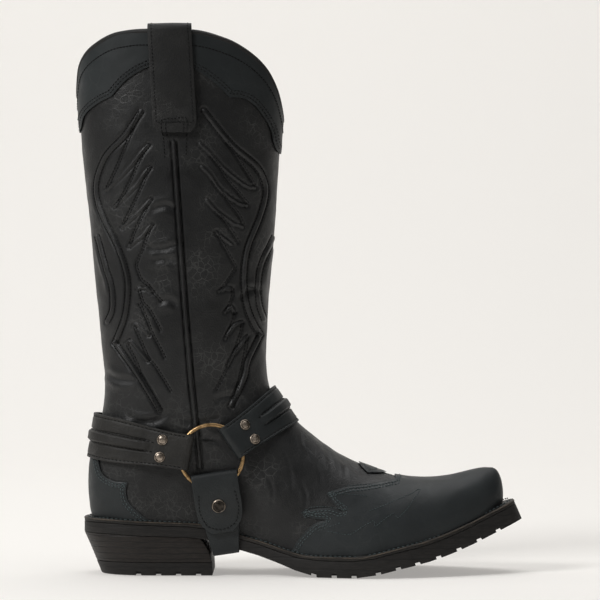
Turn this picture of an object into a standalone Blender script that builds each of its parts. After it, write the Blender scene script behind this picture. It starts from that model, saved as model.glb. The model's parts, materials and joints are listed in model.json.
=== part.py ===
"""Pull-on western harness boot for the right foot, built as separate solids.

+X points to the toe, +Y to the inner side of the foot and +Z up, in metres. The boot
stands on its heel and on the ball of its sole. The upper is one leather shell whose
surface is worked out from rings: each ring starts at the back of the boot, follows a
line seen from the side, and ends at the front. Overlays are cut from the same surface.
"""

import functools
import math

import bmesh
import bpy
import numpy as np
from mathutils import Vector, geometry

# Driving sizes of the last and the sole
OUTSOLE_LENGTH = 0.305
BALL_WIDTH = 0.106
HEEL_HEIGHT = 0.039
TOE_RISE = 0.036
ANKLE_HEIGHT = 0.130
COLLAR_HEIGHT = 0.3745
SHAFT_WIDTH = 0.092
COLLAR_OVERHANG = 0.0058

# Leather, rubber and metal thicknesses
UPPER_WALL = 0.0024
OVERLAY_WALL = 0.0012
STRAP_WALL = 0.0022
PULL_WALL = 0.0018
INSOLE_THICKNESS = 0.003
WELT_THICKNESS = 0.003
WELT_EXTENSION = 0.006
SHANK_THICKNESS = 0.007
SOLE_THICKNESS = 0.0112
CLEARANCE = 0.0003
FIT_CLEARANCE = 0.0006

# Heel
HEEL_CAP_HEIGHT = 0.0087
HEEL_BOTTOM_LENGTH = OUTSOLE_LENGTH * 0.2557
HEEL_BOTTOM_WIDTH = 0.062
HEEL_UNDERCUT = 0.012
BREAST_SETBACK = 0.0085

# Tread
LUG_PITCH = 0.0138
LUG_GROOVE = 0.0036
LUG_DEPTH = 0.0026
LUG_REACH = 0.017
LUG_START = 0.535
LUG_END = 0.975
LUG_REACH_SHARE = 0.6
HEEL_GROOVE_COUNT = 4

# Harness
RING_RADIUS = 0.0214
RING_WIRE = 0.0016
RING_FORWARD = 0.2934
RING_BELOW_ANKLE = 0.0475
RING_HEIGHT = ANKLE_HEIGHT - RING_BELOW_ANKLE
STRAP_WIDTH = 0.031
STRAP_RIDGE = 0.0015
FOLD_WIDTH = 0.024
TAB_WIDTH = 0.032
UNDER_WIDTH = 0.0180
BACK_STRAP_RISE = math.radians(171.0)
FRONT_STRAP_RISE = math.radians(34.5)
UNDER_STRAP_RISE = math.radians(-81.5)
STRAP_JOIN = 0.030
STRAP_END = 0.041
STRAP_FLARE = 0.075
TAB_JOIN = 0.046
TAB_END = 0.053
RIVET_RADIUS = 0.0037
RIVET_HEIGHT = 0.0016
RIVET_REACH = 0.035
RIVET_SPREAD = 0.0060
FRONT_RIVET_REACH = 0.0308
FRONT_RIVET_SHIFT = -0.0012
STUD_RADIUS = 0.0048
STUD_HEIGHT = 0.0020
STUD_REACH = 0.034

# Pull straps and side seams
PULL_WIDTH = 0.030
PULL_FORWARD = 0.200
PULL_LEAN = 0.0040
PULL_DROP = 0.070
PULL_INSIDE_DROP = 0.032
PULL_LOOP_RISE = 0.004
PIPING_WIDTH = 0.0036
PIPING_HEIGHT = 0.0014

# Mesh density
RING_COUNT = 23
HALF_TURN_STEPS = 18
RING_SEGMENTS = 32
RING_SIDES = 6
DOME_STEPS = 8
FOLD_STEPS = 6
FREE_END_STEP = 0.006
INSOLE_STEPS = 26
HEEL_STEPS = 12
HEEL_LAYERS = 4
PIPING_ROWS = 13
PULL_ROWS = 8
SOLE_STATIONS = 2 * HALF_TURN_STEPS + 1

HEEL_BACK_X = -(OUTSOLE_LENGTH - COLLAR_OVERHANG) / 2.0
SOLE_STACK = SOLE_THICKNESS + WELT_THICKNESS
EDGE_FLAT = 0.0004

BLACK_LEATHER = ((0.030, 0.031, 0.031), 0.45, 0.0)
TEAL_LEATHER = ((0.032, 0.042, 0.044), 0.42, 0.0)
STRAP_LEATHER = ((0.026, 0.023, 0.021), 0.48, 0.0)
RUBBER = ((0.020, 0.019, 0.018), 0.70, 0.0)
INSOLE_LEATHER = ((0.30, 0.20, 0.12), 0.75, 0.0)
BRASS = ((0.42, 0.26, 0.11), 0.34, 1.0)
PEWTER = ((0.27, 0.22, 0.17), 0.38, 1.0)


class Table:
    """Rows of shares with named columns, read as a curve that never overshoots."""

    def __init__(self, columns, rows):
        self.keys = np.array([row[0] for row in rows], dtype=float)
        self.values = {name: np.array([row[i] for row in rows], dtype=float)
                       for i, name in enumerate(columns)}
        self.slopes = {name: self._slopes(values) for name, values in self.values.items()}

    def _slopes(self, values):
        steps = np.diff(self.keys)
        rises = np.diff(values) / steps
        slopes = np.zeros_like(values)
        slopes[0] = rises[0]
        slopes[-1] = rises[-1]
        for i in range(1, len(values) - 1):
            if rises[i - 1] * rises[i] > 0.0:
                slopes[i] = 2.0 * rises[i - 1] * rises[i] / (rises[i - 1] + rises[i])
        return slopes

    def at(self, column, key):
        key = np.clip(np.asarray(key, dtype=float), self.keys[0], self.keys[-1])
        i = np.clip(np.searchsorted(self.keys, key) - 1, 0, len(self.keys) - 2)
        step = self.keys[i + 1] - self.keys[i]
        t = (key - self.keys[i]) / step
        low, high = self.values[column][i], self.values[column][i + 1]
        low_slope, high_slope = self.slopes[column][i], self.slopes[column][i + 1]
        return (low * (1 + 2 * t) * (1 - t) ** 2 + high * t * t * (3 - 2 * t)
                + step * (low_slope * t * (1 - t) ** 2 - high_slope * t * t * (1 - t)))


# Top edge of the welt seen from the side: rises are shares of the heel's and the toe's
SOLE_LINE = Table(
    ("along", "heel_rise", "toe_rise"),
    [
        (0.000, 1.00, 0.000),
        (0.035, 1.00, 0.000),
        (0.143, 0.94, 0.000),
        (0.259, 0.88, 0.000),
        (0.310, 0.75, 0.000),
        (0.355, 0.57, 0.000),
        (0.417, 0.35, 0.000),
        (0.461, 0.16, 0.000),
        (0.517, 0.01, 0.000),
        (0.558, 0.00, 0.000),
        (0.626, 0.00, 0.000),
        (0.652, 0.00, 0.040),
        (0.704, 0.00, 0.150),
        (0.766, 0.00, 0.270),
        (0.812, 0.00, 0.390),
        (0.864, 0.00, 0.560),
        (0.920, 0.00, 0.775),
        (0.979, 0.00, 1.000),
        (1.040, 0.00, 1.220),
    ])

# Plan of the sole: half widths are shares of the ball's width, edge is the share of the
# welt's extension outside the upper, swell is what the upper gains above its lower edge
SOLE_PLAN = Table(
    ("along", "outer", "inner", "edge", "outer_swell", "inner_swell"),
    [
        (0.00, 0.335, 0.330, 0.60, 0.010, 0.015),
        (0.10, 0.338, 0.332, 0.60, 0.020, 0.025),
        (0.20, 0.325, 0.312, 0.55, 0.035, 0.050),
        (0.30, 0.305, 0.270, 0.50, 0.060, 0.095),
        (0.40, 0.325, 0.250, 0.50, 0.055, 0.125),
        (0.50, 0.400, 0.300, 0.70, 0.015, 0.095),
        (0.58, 0.468, 0.390, 0.90, 0.000, 0.045),
        (0.66, 0.500, 0.465, 1.00, 0.000, 0.010),
        (0.72, 0.488, 0.500, 1.00, 0.000, 0.000),
        (0.80, 0.412, 0.462, 1.05, 0.000, 0.000),
        (0.87, 0.315, 0.372, 1.10, 0.000, 0.000),
        (0.93, 0.225, 0.288, 1.10, 0.000, 0.000),
        (0.97, 0.170, 0.232, 1.10, 0.000, 0.000),
        (1.00, 0.140, 0.200, 1.10, 0.000, 0.000),
    ])
HEEL_ROUND = 0.14
TOE_ROUND = 0.055
HEEL_POWER = 2.2
TOE_POWER = 2.6

# Profiles of the upper: height counts 0 to 1 from the sole line to the ankle and 1 to 2
# from the ankle to the collar, forward is a share of the outsole's length
FRONT_PROFILE = [
    (0.9510, -0.03),
    (0.9535, 0.06),
    (0.9530, 0.15),
    (0.9485, 0.235),
    (0.9370, 0.310),
    (0.9150, 0.340),
    (0.8780, 0.352),
    (0.8320, 0.358),
    (0.7860, 0.375),
    (0.7330, 0.408),
    (0.6770, 0.468),
    (0.6230, 0.537),
    (0.5660, 0.617),
    (0.5030, 0.740),
    (0.4580, 0.852),
    (0.4350, 0.930),
    (0.4220, 1.000),
    (0.4155, 1.080),
    (0.4210, 1.240),
    (0.4330, 1.420),
    (0.4440, 1.640),
    (0.4505, 1.760),
]
BACK_PROFILE = Table(
    ("height", "forward"),
    [
        (-0.04, 0.0230),
        (0.10, 0.0160),
        (0.27, 0.0125),
        (0.41, 0.0150),
        (0.56, 0.0230),
        (0.72, 0.0350),
        (0.87, 0.0430),
        (1.00, 0.0455),
        (1.13, 0.0375),
        (1.25, 0.0275),
        (1.42, 0.0145),
        (1.60, -0.0005),
        (1.71, -0.0085),
        (1.83, -0.0145),
    ])
BACK_TOP = 1.83
SHAFT_WIDTHS = Table(
    ("height", "width"),
    [
        (0.40, 0.84),
        (0.80, 0.82),
        (1.00, 0.83),
        (1.20, 0.89),
        (1.45, 0.95),
        (1.75, 0.99),
        (2.00, 1.00),
    ])
SHAFT_POWER = 2.15
TOP_POWER = 2.4
INSTEP_SLOPE = 1.05
INSTEP_START = 0.455
TOE_CREST = 0.915
BLEND_START = 0.55
BLEND_END = 1.08

# How far each ring has climbed along the front and the back profile
RING_CLIMB = Table(
    ("ring", "front", "back"),
    [
        (0.00, 0.000, 0.000),
        (0.16, 0.085, 0.070),
        (0.40, 0.290, 0.160),
        (0.60, 0.510, 0.315),
        (0.80, 0.750, 0.640),
        (1.00, 1.000, 1.000),
    ])
RING_SAG_END = 0.62
RING_SAG_POWER = 1.3
COLLAR_START = 0.60
# Rings dive this far under the vamp's top behind their front ends
RING_DIVE = 0.016
RING_DIVE_LENGTH = 0.045
# Height of the collar round half a turn from back to front, as a share of its dip
COLLAR_LINE = Table(
    ("turn", "rise"),
    [
        (0.000, 0.00),
        (0.030, 0.14),
        (0.075, 0.45),
        (0.190, 0.78),
        (0.310, 0.97),
        (0.390, 1.00),
        (0.540, 0.99),
        (0.650, 0.89),
        (0.740, 0.74),
        (0.820, 0.56),
        (0.885, 0.36),
        (0.950, 0.13),
        (1.000, 0.00),
    ])

# Overlay edges seen from the side: forward is a share of the outsole's length, height
# counts as on the profiles
CUFF_EDGE = [
    (-0.040, 1.715), (-0.010, 1.727), (0.003, 1.768), (0.032, 1.797), (0.068, 1.818),
    (0.103, 1.863), (0.144, 1.893), (0.203, 1.916), (0.264, 1.885), (0.293, 1.861),
    (0.317, 1.836), (0.335, 1.813), (0.360, 1.813), (0.386, 1.798), (0.411, 1.762),
    (0.427, 1.726), (0.434, 1.687), (0.447, 1.664), (0.480, 1.655),
]
WING_EDGE = [
    (0.473, 0.000), (0.493, 0.100), (0.522, 0.185), (0.551, 0.215), (0.496, 0.245),
    (0.553, 0.375), (0.605, 0.413), (0.657, 0.418), (0.705, 0.395), (0.714, 0.430),
    (0.647, 0.480), (0.622, 0.560), (0.640, 0.700),
]
COUNTER_EDGE = [
    (-0.050, 0.700), (0.020, 0.690), (0.034, 0.480), (0.048, 0.325), (0.070, 0.278),
    (0.103, 0.285), (0.100, 0.140), (0.118, 0.085), (0.150, 0.000),
]

# Side seam seen from the side
PIPING_LINE = Table(
    ("height", "forward"),
    [
        (0.41, 0.2676),
        (0.62, 0.2608),
        (0.85, 0.2535),
        (1.02, 0.2472),
        (1.24, 0.2330),
        (1.50, 0.2190),
        (1.69, 0.2087),
    ])

# Heel seen from the side, from the seat down: shares of undercut, setback and width
HEEL_LEVELS = Table(
    ("level", "undercut", "breast", "narrowing"),
    [
        (0.00, 0.00, 0.00, 0.00),
        (0.12, 0.13, 0.34, 0.12),
        (0.35, 0.37, 0.70, 0.36),
        (0.65, 0.66, 0.94, 0.68),
        (1.00, 1.00, 1.00, 1.00),
    ])


def forward_x(share):
    return HEEL_BACK_X + np.asarray(share) * OUTSOLE_LENGTH


def share_of(x):
    return (np.asarray(x) - HEEL_BACK_X) / OUTSOLE_LENGTH


def smooth(low, high, value):
    t = np.clip((value - low) / (high - low), 0.0, 1.0)
    return t * t * (3.0 - 2.0 * t)


def end_round(distance, length, power):
    """Share of the full width left at a distance from a rounded end."""
    reach = np.clip(distance / length, 0.0, 1.0)
    return (1.0 - (1.0 - reach) ** power) ** (1.0 / power)


def sole_line(x):
    """Height of the welt's top edge."""
    share = share_of(x)
    heel = SOLE_LINE.at("heel_rise", share) * (HEEL_HEIGHT - SOLE_STACK)
    return SOLE_STACK + heel + SOLE_LINE.at("toe_rise", share) * TOE_RISE


def sole_normal(x):
    """Downward unit normal of the sole line, as x and z."""
    step = 0.002
    slope = (sole_line(x + step) - sole_line(x - step)) / (2.0 * step)
    size = np.sqrt(1.0 + slope * slope)
    return slope / size, -1.0 / size


def lower_edge(x):
    """Height of the upper's bottom edge, just over the outsole inside the welt."""
    return sole_line(x) - WELT_THICKNESS + FIT_CLEARANCE


def real_height(x, height):
    """Height in metres of a share that counts 0 to 1 to the ankle and 2 at the collar."""
    low = sole_line(x) + height * (ANKLE_HEIGHT - sole_line(x))
    high = ANKLE_HEIGHT + (height - 1.0) * (COLLAR_HEIGHT - ANKLE_HEIGHT)
    return np.where(np.asarray(height) < 1.0, low, high)


def smooth_line(points, samples=12):
    """A curve through points, as dense samples with equal steps between each pair."""
    line = np.array(points, dtype=float)
    padded = np.vstack([2 * line[0] - line[1], line, 2 * line[-1] - line[-2]])
    dense = []
    for i in range(len(line) - 1):
        before, start, end, after = padded[i:i + 4]
        for k in range(samples):
            t = k / samples
            dense.append(0.5 * (2 * start + (end - before) * t
                                + (2 * before - 5 * start + 4 * end - after) * t ** 2
                                + (3 * start - before - 3 * end + after) * t ** 3))
    dense.append(line[-1])
    return np.array(dense)


class Profile:
    """A line in the side view, read by its share of length."""

    def __init__(self, points):
        self.points = points
        steps = np.linalg.norm(np.diff(points, axis=0), axis=1)
        self.reach = np.concatenate([[0.0], np.cumsum(steps)]) / steps.sum()

    def at(self, share):
        return (np.interp(share, self.reach, self.points[:, 0]),
                np.interp(share, self.reach, self.points[:, 1]))


def front_points():
    rows = [(forward_x(forward), real_height(forward_x(forward), height))
            for forward, height in FRONT_PROFILE]
    return smooth_line(rows)


def back_points():
    heights = np.linspace(-0.04, BACK_TOP, 60)
    x = forward_x(BACK_PROFILE.at("forward", heights))
    return np.column_stack([x, real_height(x, heights)])


FRONT = Profile(front_points())
BACK = Profile(back_points())


def build_upper_limits():
    """Tables read by the width field: the vamp's top, the shaft's front, the toe's tip."""
    x, z = FRONT.points[:, 0], FRONT.points[:, 1]
    vamp = (x >= forward_x(INSTEP_START)) & (x <= forward_x(TOE_CREST))
    vamp_x, vamp_z = x[vamp][::-1], z[vamp][::-1]
    rising = np.argmin(np.where(x > forward_x(0.6), z + (x > forward_x(TOE_CREST)), 9.0))
    toe = x >= forward_x(TOE_CREST)
    return vamp_x, vamp_z, x[rising:], z[rising:], x[toe], z[toe]


VAMP_X, VAMP_Z, SHAFT_X, SHAFT_Z, TOE_X, TOE_Z = build_upper_limits()


def foot_top(x):
    """Top of the foot over x, carried on behind the instep as a straight slope."""
    over = np.interp(x, VAMP_X, VAMP_Z)
    return over + np.clip(VAMP_X[0] - x, 0.0, None) * INSTEP_SLOPE


def back_of(z):
    return np.interp(z, BACK.points[:, 1], BACK.points[:, 0])


def sole_half_width(x, side):
    """Half width of the sole, rounded off at the heel and the toe."""
    share = share_of(x)
    width = SOLE_PLAN.at(side, share) * BALL_WIDTH
    heel = end_round(x - HEEL_BACK_X + EDGE_FLAT, HEEL_ROUND * OUTSOLE_LENGTH, HEEL_POWER)
    tip = forward_x(1.0) - x + EDGE_FLAT
    return width * heel * end_round(tip, TOE_ROUND * OUTSOLE_LENGTH, TOE_POWER)


def half_width(x, z, side):
    """Half width of the upper's outer face at a point of the side view."""
    share = share_of(x)
    low = lower_edge(x)
    rise = np.clip((z - low) / (foot_top(x) - low), 0.0, 1.0)
    inset = SOLE_PLAN.at("edge", share) * WELT_EXTENSION
    swell = SOLE_PLAN.at(side + "_swell", share) * BALL_WIDTH * smooth(0.0, 0.45, rise)
    body = SOLE_PLAN.at(side, share) * BALL_WIDTH - inset + swell
    top = np.sqrt(1.0 - rise ** TOP_POWER)
    heel = end_round(x - back_of(z), HEEL_ROUND * OUTSOLE_LENGTH, HEEL_POWER)
    tip = np.interp(z, TOE_Z, TOE_X) - x
    foot = body * top * heel * end_round(tip, TOE_ROUND * OUTSOLE_LENGTH, TOE_POWER)

    height = np.where(z < ANKLE_HEIGHT, z / ANKLE_HEIGHT,
                      1.0 + (z - ANKLE_HEIGHT) / (COLLAR_HEIGHT - ANKLE_HEIGHT))
    front = np.interp(z, SHAFT_Z, SHAFT_X)
    across = np.clip((x - back_of(z)) / (front - back_of(z)), 0.0, 1.0)
    oval = (1.0 - np.abs(2.0 * across - 1.0) ** SHAFT_POWER) ** (1.0 / SHAFT_POWER)
    shaft = SHAFT_WIDTHS.at("width", height) * SHAFT_WIDTH / 2.0 * oval
    blend = smooth(BLEND_START, BLEND_END, height)
    return foot + (shaft - foot) * blend


def ring_point(ring, turn):
    """Side-view point of a ring; turn runs 0 to 1 from the back to the front."""
    back_x, back_z = BACK.at(RING_CLIMB.at("back", ring))
    front_x, front_z = FRONT.at(RING_CLIMB.at("front", ring))
    across = (1.0 - np.cos(turn * math.pi)) / 2.0
    x = back_x + (front_x - back_x) * across
    z = back_z + (front_z - back_z) * across
    foot_x = BACK.points[0, 0] + (FRONT.points[0, 0] - BACK.points[0, 0]) * across
    foot_z = BACK.points[0, 1] + (FRONT.points[0, 1] - BACK.points[0, 1]) * across
    share = np.clip(1.0 - ring / RING_SAG_END, 0.0, 1.0) ** RING_SAG_POWER
    sag = (lower_edge(foot_x) - foot_z) * share
    top_z = BACK.points[-1, 1] + (FRONT.points[-1, 1] - BACK.points[-1, 1]) * across
    peak = COLLAR_LINE.at("rise", turn)
    dip = (COLLAR_HEIGHT - top_z) * peak
    z = z + sag + dip * smooth(COLLAR_START, 1.0, ring) ** 1.3
    if front_x < forward_x(INSTEP_START):
        return x, z
    below_top = RING_DIVE * (1.0 - np.exp((x - front_x) / RING_DIVE_LENGTH))
    return x, np.minimum(z, foot_top(x) - below_top)


def surface_point(ring, turn):
    """Point of the upper's outer face; turn runs 0 to 2 once round from the back."""
    side, half_turn, sign = ("outer", turn, -1.0) if turn <= 1.0 else ("inner", 2.0 - turn, 1.0)
    x, z = ring_point(ring, half_turn)
    return Vector((float(x), sign * float(half_width(x, z, side)), float(z)))


def ring_shares():
    return [i / (RING_COUNT - 1) for i in range(RING_COUNT)]


@functools.lru_cache(maxsize=None)
def surface_grid(offset):
    """Rings of points on the upper's outer face, moved out by an offset."""
    count = 2 * HALF_TURN_STEPS
    if offset == 0.0:
        return [[surface_point(ring, 2.0 * k / count) for k in range(count)]
                for ring in ring_shares()]
    rows = surface_grid(0.0)
    moved = []
    for i, row in enumerate(rows):
        below, above = rows[max(i - 1, 0)], rows[min(i + 1, len(rows) - 1)]
        moved_row = []
        for k, point in enumerate(row):
            round_step = row[(k + 1) % count] - row[k - 1]
            normal = round_step.cross(above[k] - below[k]).normalized()
            moved_row.append(point + normal * offset)
        moved.append(moved_row)
    return moved


def material(name, finish):
    colour, roughness, metallic = finish
    made = bpy.data.materials.new(name)
    made.use_nodes = True
    shader = made.node_tree.nodes["Principled BSDF"]
    shader.inputs["Base Color"].default_value = (*colour, 1.0)
    shader.inputs["Roughness"].default_value = roughness
    shader.inputs["Metallic"].default_value = metallic
    return made


def add_object(name, vertices, faces, finish, collection, smooth_angle=35.0):
    """Makes one named object from points and faces, in the part's collection."""
    mesh = bpy.data.meshes.new(name)
    mesh.from_pydata([tuple(v) for v in vertices], [], faces)
    mesh.validate()
    mesh.shade_smooth()
    mesh.set_sharp_from_angle(angle=math.radians(smooth_angle))
    made = bpy.data.objects.new(name, mesh)
    collection.objects.link(made)
    if finish is not None:
        mesh.materials.append(material(name, finish))
    return made


def solidify(target, thickness, offset):
    """Gives an open surface a wall; offset is -1 inwards, 0 both ways, 1 outwards."""
    wall = target.modifiers.new("wall", "SOLIDIFY")
    wall.thickness = thickness
    wall.offset = offset
    wall.use_even_offset = True
    wall.thickness_clamp = 2.0
    return wall


def grid_faces(rows, columns, closed):
    """Quads between rows of points; closed joins each row's end to its start."""
    span = columns if closed else columns - 1
    return [(i * columns + k, i * columns + (k + 1) % columns,
             (i + 1) * columns + (k + 1) % columns, (i + 1) * columns + k)
            for i in range(rows - 1) for k in range(span)]


def surface_faces(rows, columns):
    """Triangles of the upper's surface, split the same way on every layer over it."""
    quads = grid_faces(rows, columns, True)
    return [tri for a, b, c, d in quads for tri in ((a, b, c), (a, c, d))]


def cap_faces(base, count, in_strips):
    """Cap of a loop: one flat face, or strips between its two mirrored sides."""
    if not in_strips:
        return [tuple(range(base, base + count))]
    last = base + count - 1
    return [(base + k, base + k + 1, last - k - 1, last - k) for k in range(count // 2 - 1)]


def loft(name, loops, finish, collection, in_strips=False):
    """Closed solid through loops of equal count, capped at both ends."""
    count = len(loops[0])
    vertices = [point for loop in loops for point in loop]
    faces = grid_faces(len(loops), count, True)
    faces += [tuple(reversed(face)) for face in cap_faces(0, count, in_strips)]
    faces += cap_faces((len(loops) - 1) * count, count, in_strips)
    return add_object(name, vertices, faces, finish, collection)


def tube_ring(name, loops, finish, collection):
    """Closed ring solid through loops of equal count, the last joined to the first."""
    count = len(loops[0])
    vertices = [point for loop in loops for point in loop]
    total = len(loops)
    faces = []
    for i in range(total):
        j = (i + 1) % total
        for k in range(count):
            n = (k + 1) % count
            faces.append((i * count + k, i * count + n, j * count + n, j * count + k))
    return add_object(name, vertices, faces, finish, collection)


def boolean(target, cutter, operation):
    cut = target.modifiers.new(operation.lower(), "BOOLEAN")
    cut.operation = operation
    cut.object = cutter
    cut.solver = "EXACT"


def as_cutter(made):
    made.hide_render = True
    made.display_type = "WIRE"
    return made


def make_upper(parts):
    rows = surface_grid(0.0)
    count = len(rows[0])
    vertices = [point for row in rows for point in row]
    made = add_object("upper", vertices, surface_faces(len(rows), count), BLACK_LEATHER, parts)
    solidify(made, UPPER_WALL, -1.0)


def edge_prism(name, edge, closing, cutters):
    """Cutter as wide as the boot, whose outline in the side view is an overlay's."""
    outline = [(float(forward_x(f)), float(real_height(forward_x(f), h))) for f, h in edge]
    outline += closing
    reach = BALL_WIDTH
    loops = [[Vector((x, y, z)) for x, z in outline] for y in (-reach, reach)]
    made = loft(name, loops, None, cutters)
    turn_out(made)
    return as_cutter(made)


def turn_out(made):
    """Makes a closed mesh's faces point out."""
    shape = bmesh.new()
    shape.from_mesh(made.data)
    bmesh.ops.recalc_face_normals(shape, faces=shape.faces)
    shape.to_mesh(made.data)
    shape.free()


def sole_edge_points(first, last, steps):
    """Points just over the welt's top edge, in the side view."""
    return [(float(x), float(sole_line(x)) + FIT_CLEARANCE)
            for x in np.linspace(forward_x(first), forward_x(last), steps)]


def make_overlay(name, cutter, parts):
    """Leather layer on the upper, kept only inside a cutter's outline."""
    rows = surface_grid(CLEARANCE)
    vertices = [point for row in rows for point in row]
    made = add_object(name, vertices, surface_faces(len(rows), len(rows[0])),
                      TEAL_LEATHER, parts)
    solidify(made, OVERLAY_WALL, 1.0)
    boolean(made, cutter, "INTERSECT")


def make_overlays(parts, cutters):
    above = COLLAR_HEIGHT + BALL_WIDTH
    ahead = float(forward_x(1.2))
    behind = float(forward_x(-0.2))
    cuff = edge_prism("cuff_outline", CUFF_EDGE, [(ahead, above), (behind, above)], cutters)
    make_overlay("collar_cuff", cuff, parts)
    wing_top = float(real_height(0.0, 0.95))
    wing_close = [(ahead, wing_top)] + sole_edge_points(1.2, WING_EDGE[0][0], 24)
    wing = edge_prism("wing_outline", WING_EDGE[1:], wing_close, cutters)
    make_overlay("toe_wing", wing, parts)
    counter_close = sole_edge_points(COUNTER_EDGE[-1][0], -0.2, 8)
    counter = edge_prism("counter_outline", COUNTER_EDGE[:-1], counter_close, cutters)
    make_overlay("heel_counter", counter, parts)


def sole_stations():
    """Shares along the sole, closer together at its ends."""
    return [(1.0 - math.cos(math.pi * i / (SOLE_STATIONS - 1))) / 2.0
            for i in range(SOLE_STATIONS)]


def sole_top_x(share):
    """Station on the sole line; the line ends behind the toe's lower tip."""
    tip = forward_x(1.0)
    normal_x = sole_normal(tip)[0]
    line_end = tip - normal_x * SOLE_STACK
    return HEEL_BACK_X + share * (line_end - HEEL_BACK_X)


def sole_point(share, side, depth):
    """Point of the sole's edge, a depth below the welt's top edge."""
    x = sole_top_x(share)
    normal_x, normal_z = sole_normal(x)
    sign = -1.0 if side == "outer" else 1.0
    y = sign * sole_half_width(forward_x(share), side)
    return Vector((float(x + normal_x * depth), float(y), float(sole_line(x) + normal_z * depth)))


def sole_depth(share):
    """Depth of the outsole's bottom below the welt's top edge: thin behind the ball."""
    thin = WELT_THICKNESS + SHANK_THICKNESS
    return thin + (SOLE_STACK - thin) * float(smooth(0.485, 0.522, share))


def make_outsole(parts, cutters):
    """Outsole from heel seat to toe, with grooves cut between its lugs."""
    loops = []
    for share in sole_stations():
        top = WELT_THICKNESS
        bottom = sole_depth(share)
        loops.append([sole_point(share, "outer", top), sole_point(share, "inner", top),
                      sole_point(share, "inner", bottom), sole_point(share, "outer", bottom)])
    made = loft("outsole", loops, RUBBER, parts)
    turn_out(made)
    boolean(made, make_lug_cutters(cutters), "DIFFERENCE")


BOX_FACES = ((0, 3, 2, 1), (4, 5, 6, 7), (0, 1, 5, 4), (1, 2, 6, 5), (2, 3, 7, 6), (3, 0, 4, 7))


def box_points(centre, along, across, up, half):
    return [centre + along * (half[0] * i) + across * (half[1] * j) + up * (half[2] * k)
            for k in (-1, 1) for i, j in ((-1, -1), (1, -1), (1, 1), (-1, 1))]


def add_boxes(name, boxes, cutters):
    """One cutter of several boxes that don't touch."""
    vertices = []
    faces = []
    for points in boxes:
        base = len(vertices)
        vertices += points
        faces += [tuple(base + i for i in face) for face in BOX_FACES]
    made = add_object(name, vertices, faces, None, cutters)
    turn_out(made)
    return as_cutter(made)


def make_lug_cutters(cutters):
    """Grooves in from both edges of the forepart, with bars between them in the middle."""
    boxes = []
    count = int((LUG_END - LUG_START) * OUTSOLE_LENGTH / LUG_PITCH)
    across = Vector((0.0, 1.0, 0.0))
    for i in range(count + 1):
        share = LUG_START + i * LUG_PITCH / OUTSOLE_LENGTH
        x = sole_top_x(share)
        normal_x, normal_z = (float(v) for v in sole_normal(x))
        down = Vector((normal_x, 0.0, normal_z))
        along = Vector((-normal_z, 0.0, normal_x))
        edges = [sole_point(share, side, SOLE_STACK) for side in ("outer", "inner")]
        span = (edges[1].y - edges[0].y) / 2.0
        half = (LUG_GROOVE / 2.0, min(LUG_REACH, span * LUG_REACH_SHARE), LUG_DEPTH)
        for centre in edges:
            boxes.append(box_points(centre, along, across, down, half))
        room = span - LUG_REACH - LUG_GROOVE
        if room > LUG_GROOVE:
            centre = (edges[0] + edges[1]) / 2.0 + along * (LUG_PITCH / 2.0)
            half = (LUG_GROOVE / 2.0, room, LUG_DEPTH)
            boxes.append(box_points(centre, along, across, down, half))
    return add_boxes("lug_grooves", boxes, cutters)


def make_welt(parts):
    """Flat strip between the sole's edge and the upper, all round."""
    loops = []
    for side, order in (("outer", 1), ("inner", -1)):
        for i in range(SOLE_STATIONS)[::order]:
            share = sole_stations()[i]
            outer_top = sole_point(share, side, 0.0)
            outer_low = sole_point(share, side, WELT_THICKNESS - CLEARANCE)
            inner_top, inner_low = welt_seat(i, side)
            loops.append([outer_top, outer_low, inner_low, inner_top])
    made = tube_ring("welt", loops, RUBBER, parts)
    turn_out(made)


def foot_edge(turn, side, offset):
    """Plan point of the upper's lower edge, moved out by an offset."""
    sign = -1.0 if side == "outer" else 1.0
    step = 0.004
    x = ring_point(0.0, turn)[0]
    z = sole_line(x)
    before, after = (ring_point(0.0, np.clip(turn + d, 0.0, 1.0))[0] for d in (-step, step))
    run = after - before
    rise = half_width(after, z, side) - half_width(before, z, side)
    size = math.hypot(run, rise)
    width = half_width(x, z, side)
    return float(x - rise / size * offset), float(sign * (width + run / size * offset))


def welt_seat(station, side):
    """Inner edge of the welt beside the upper: its top and its bottom point."""
    near = [station] if station % 2 == 0 else [station - 1, station + 1]
    ends = [foot_edge(i / (SOLE_STATIONS - 1), side, FIT_CLEARANCE) for i in near]
    x, y = (sum(values) / len(ends) for values in zip(*ends))
    depth = WELT_THICKNESS - CLEARANCE
    top = Vector((x, y, float(sole_line(x))))
    return top, top + Vector((0.0, 0.0, float(sole_normal(x)[1]) * depth))


def make_insole(parts):
    """Leather board inside the upper, on the outsole."""
    inset = -(UPPER_WALL + 2.0 * FIT_CLEARANCE)
    turns = [i / INSOLE_STEPS for i in range(1, INSOLE_STEPS)]
    sides = [("outer", turn) for turn in turns] + [("inner", turn) for turn in turns[::-1]]
    edge = [foot_edge(turn, side, inset) for side, turn in sides]
    loops = [[Vector((x, y, float(lower_edge(x)) + rise)) for x, y in edge]
             for rise in (0.0, INSOLE_THICKNESS)]
    made = loft("insole", loops, INSOLE_LEATHER, parts, in_strips=True)
    turn_out(made)


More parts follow.
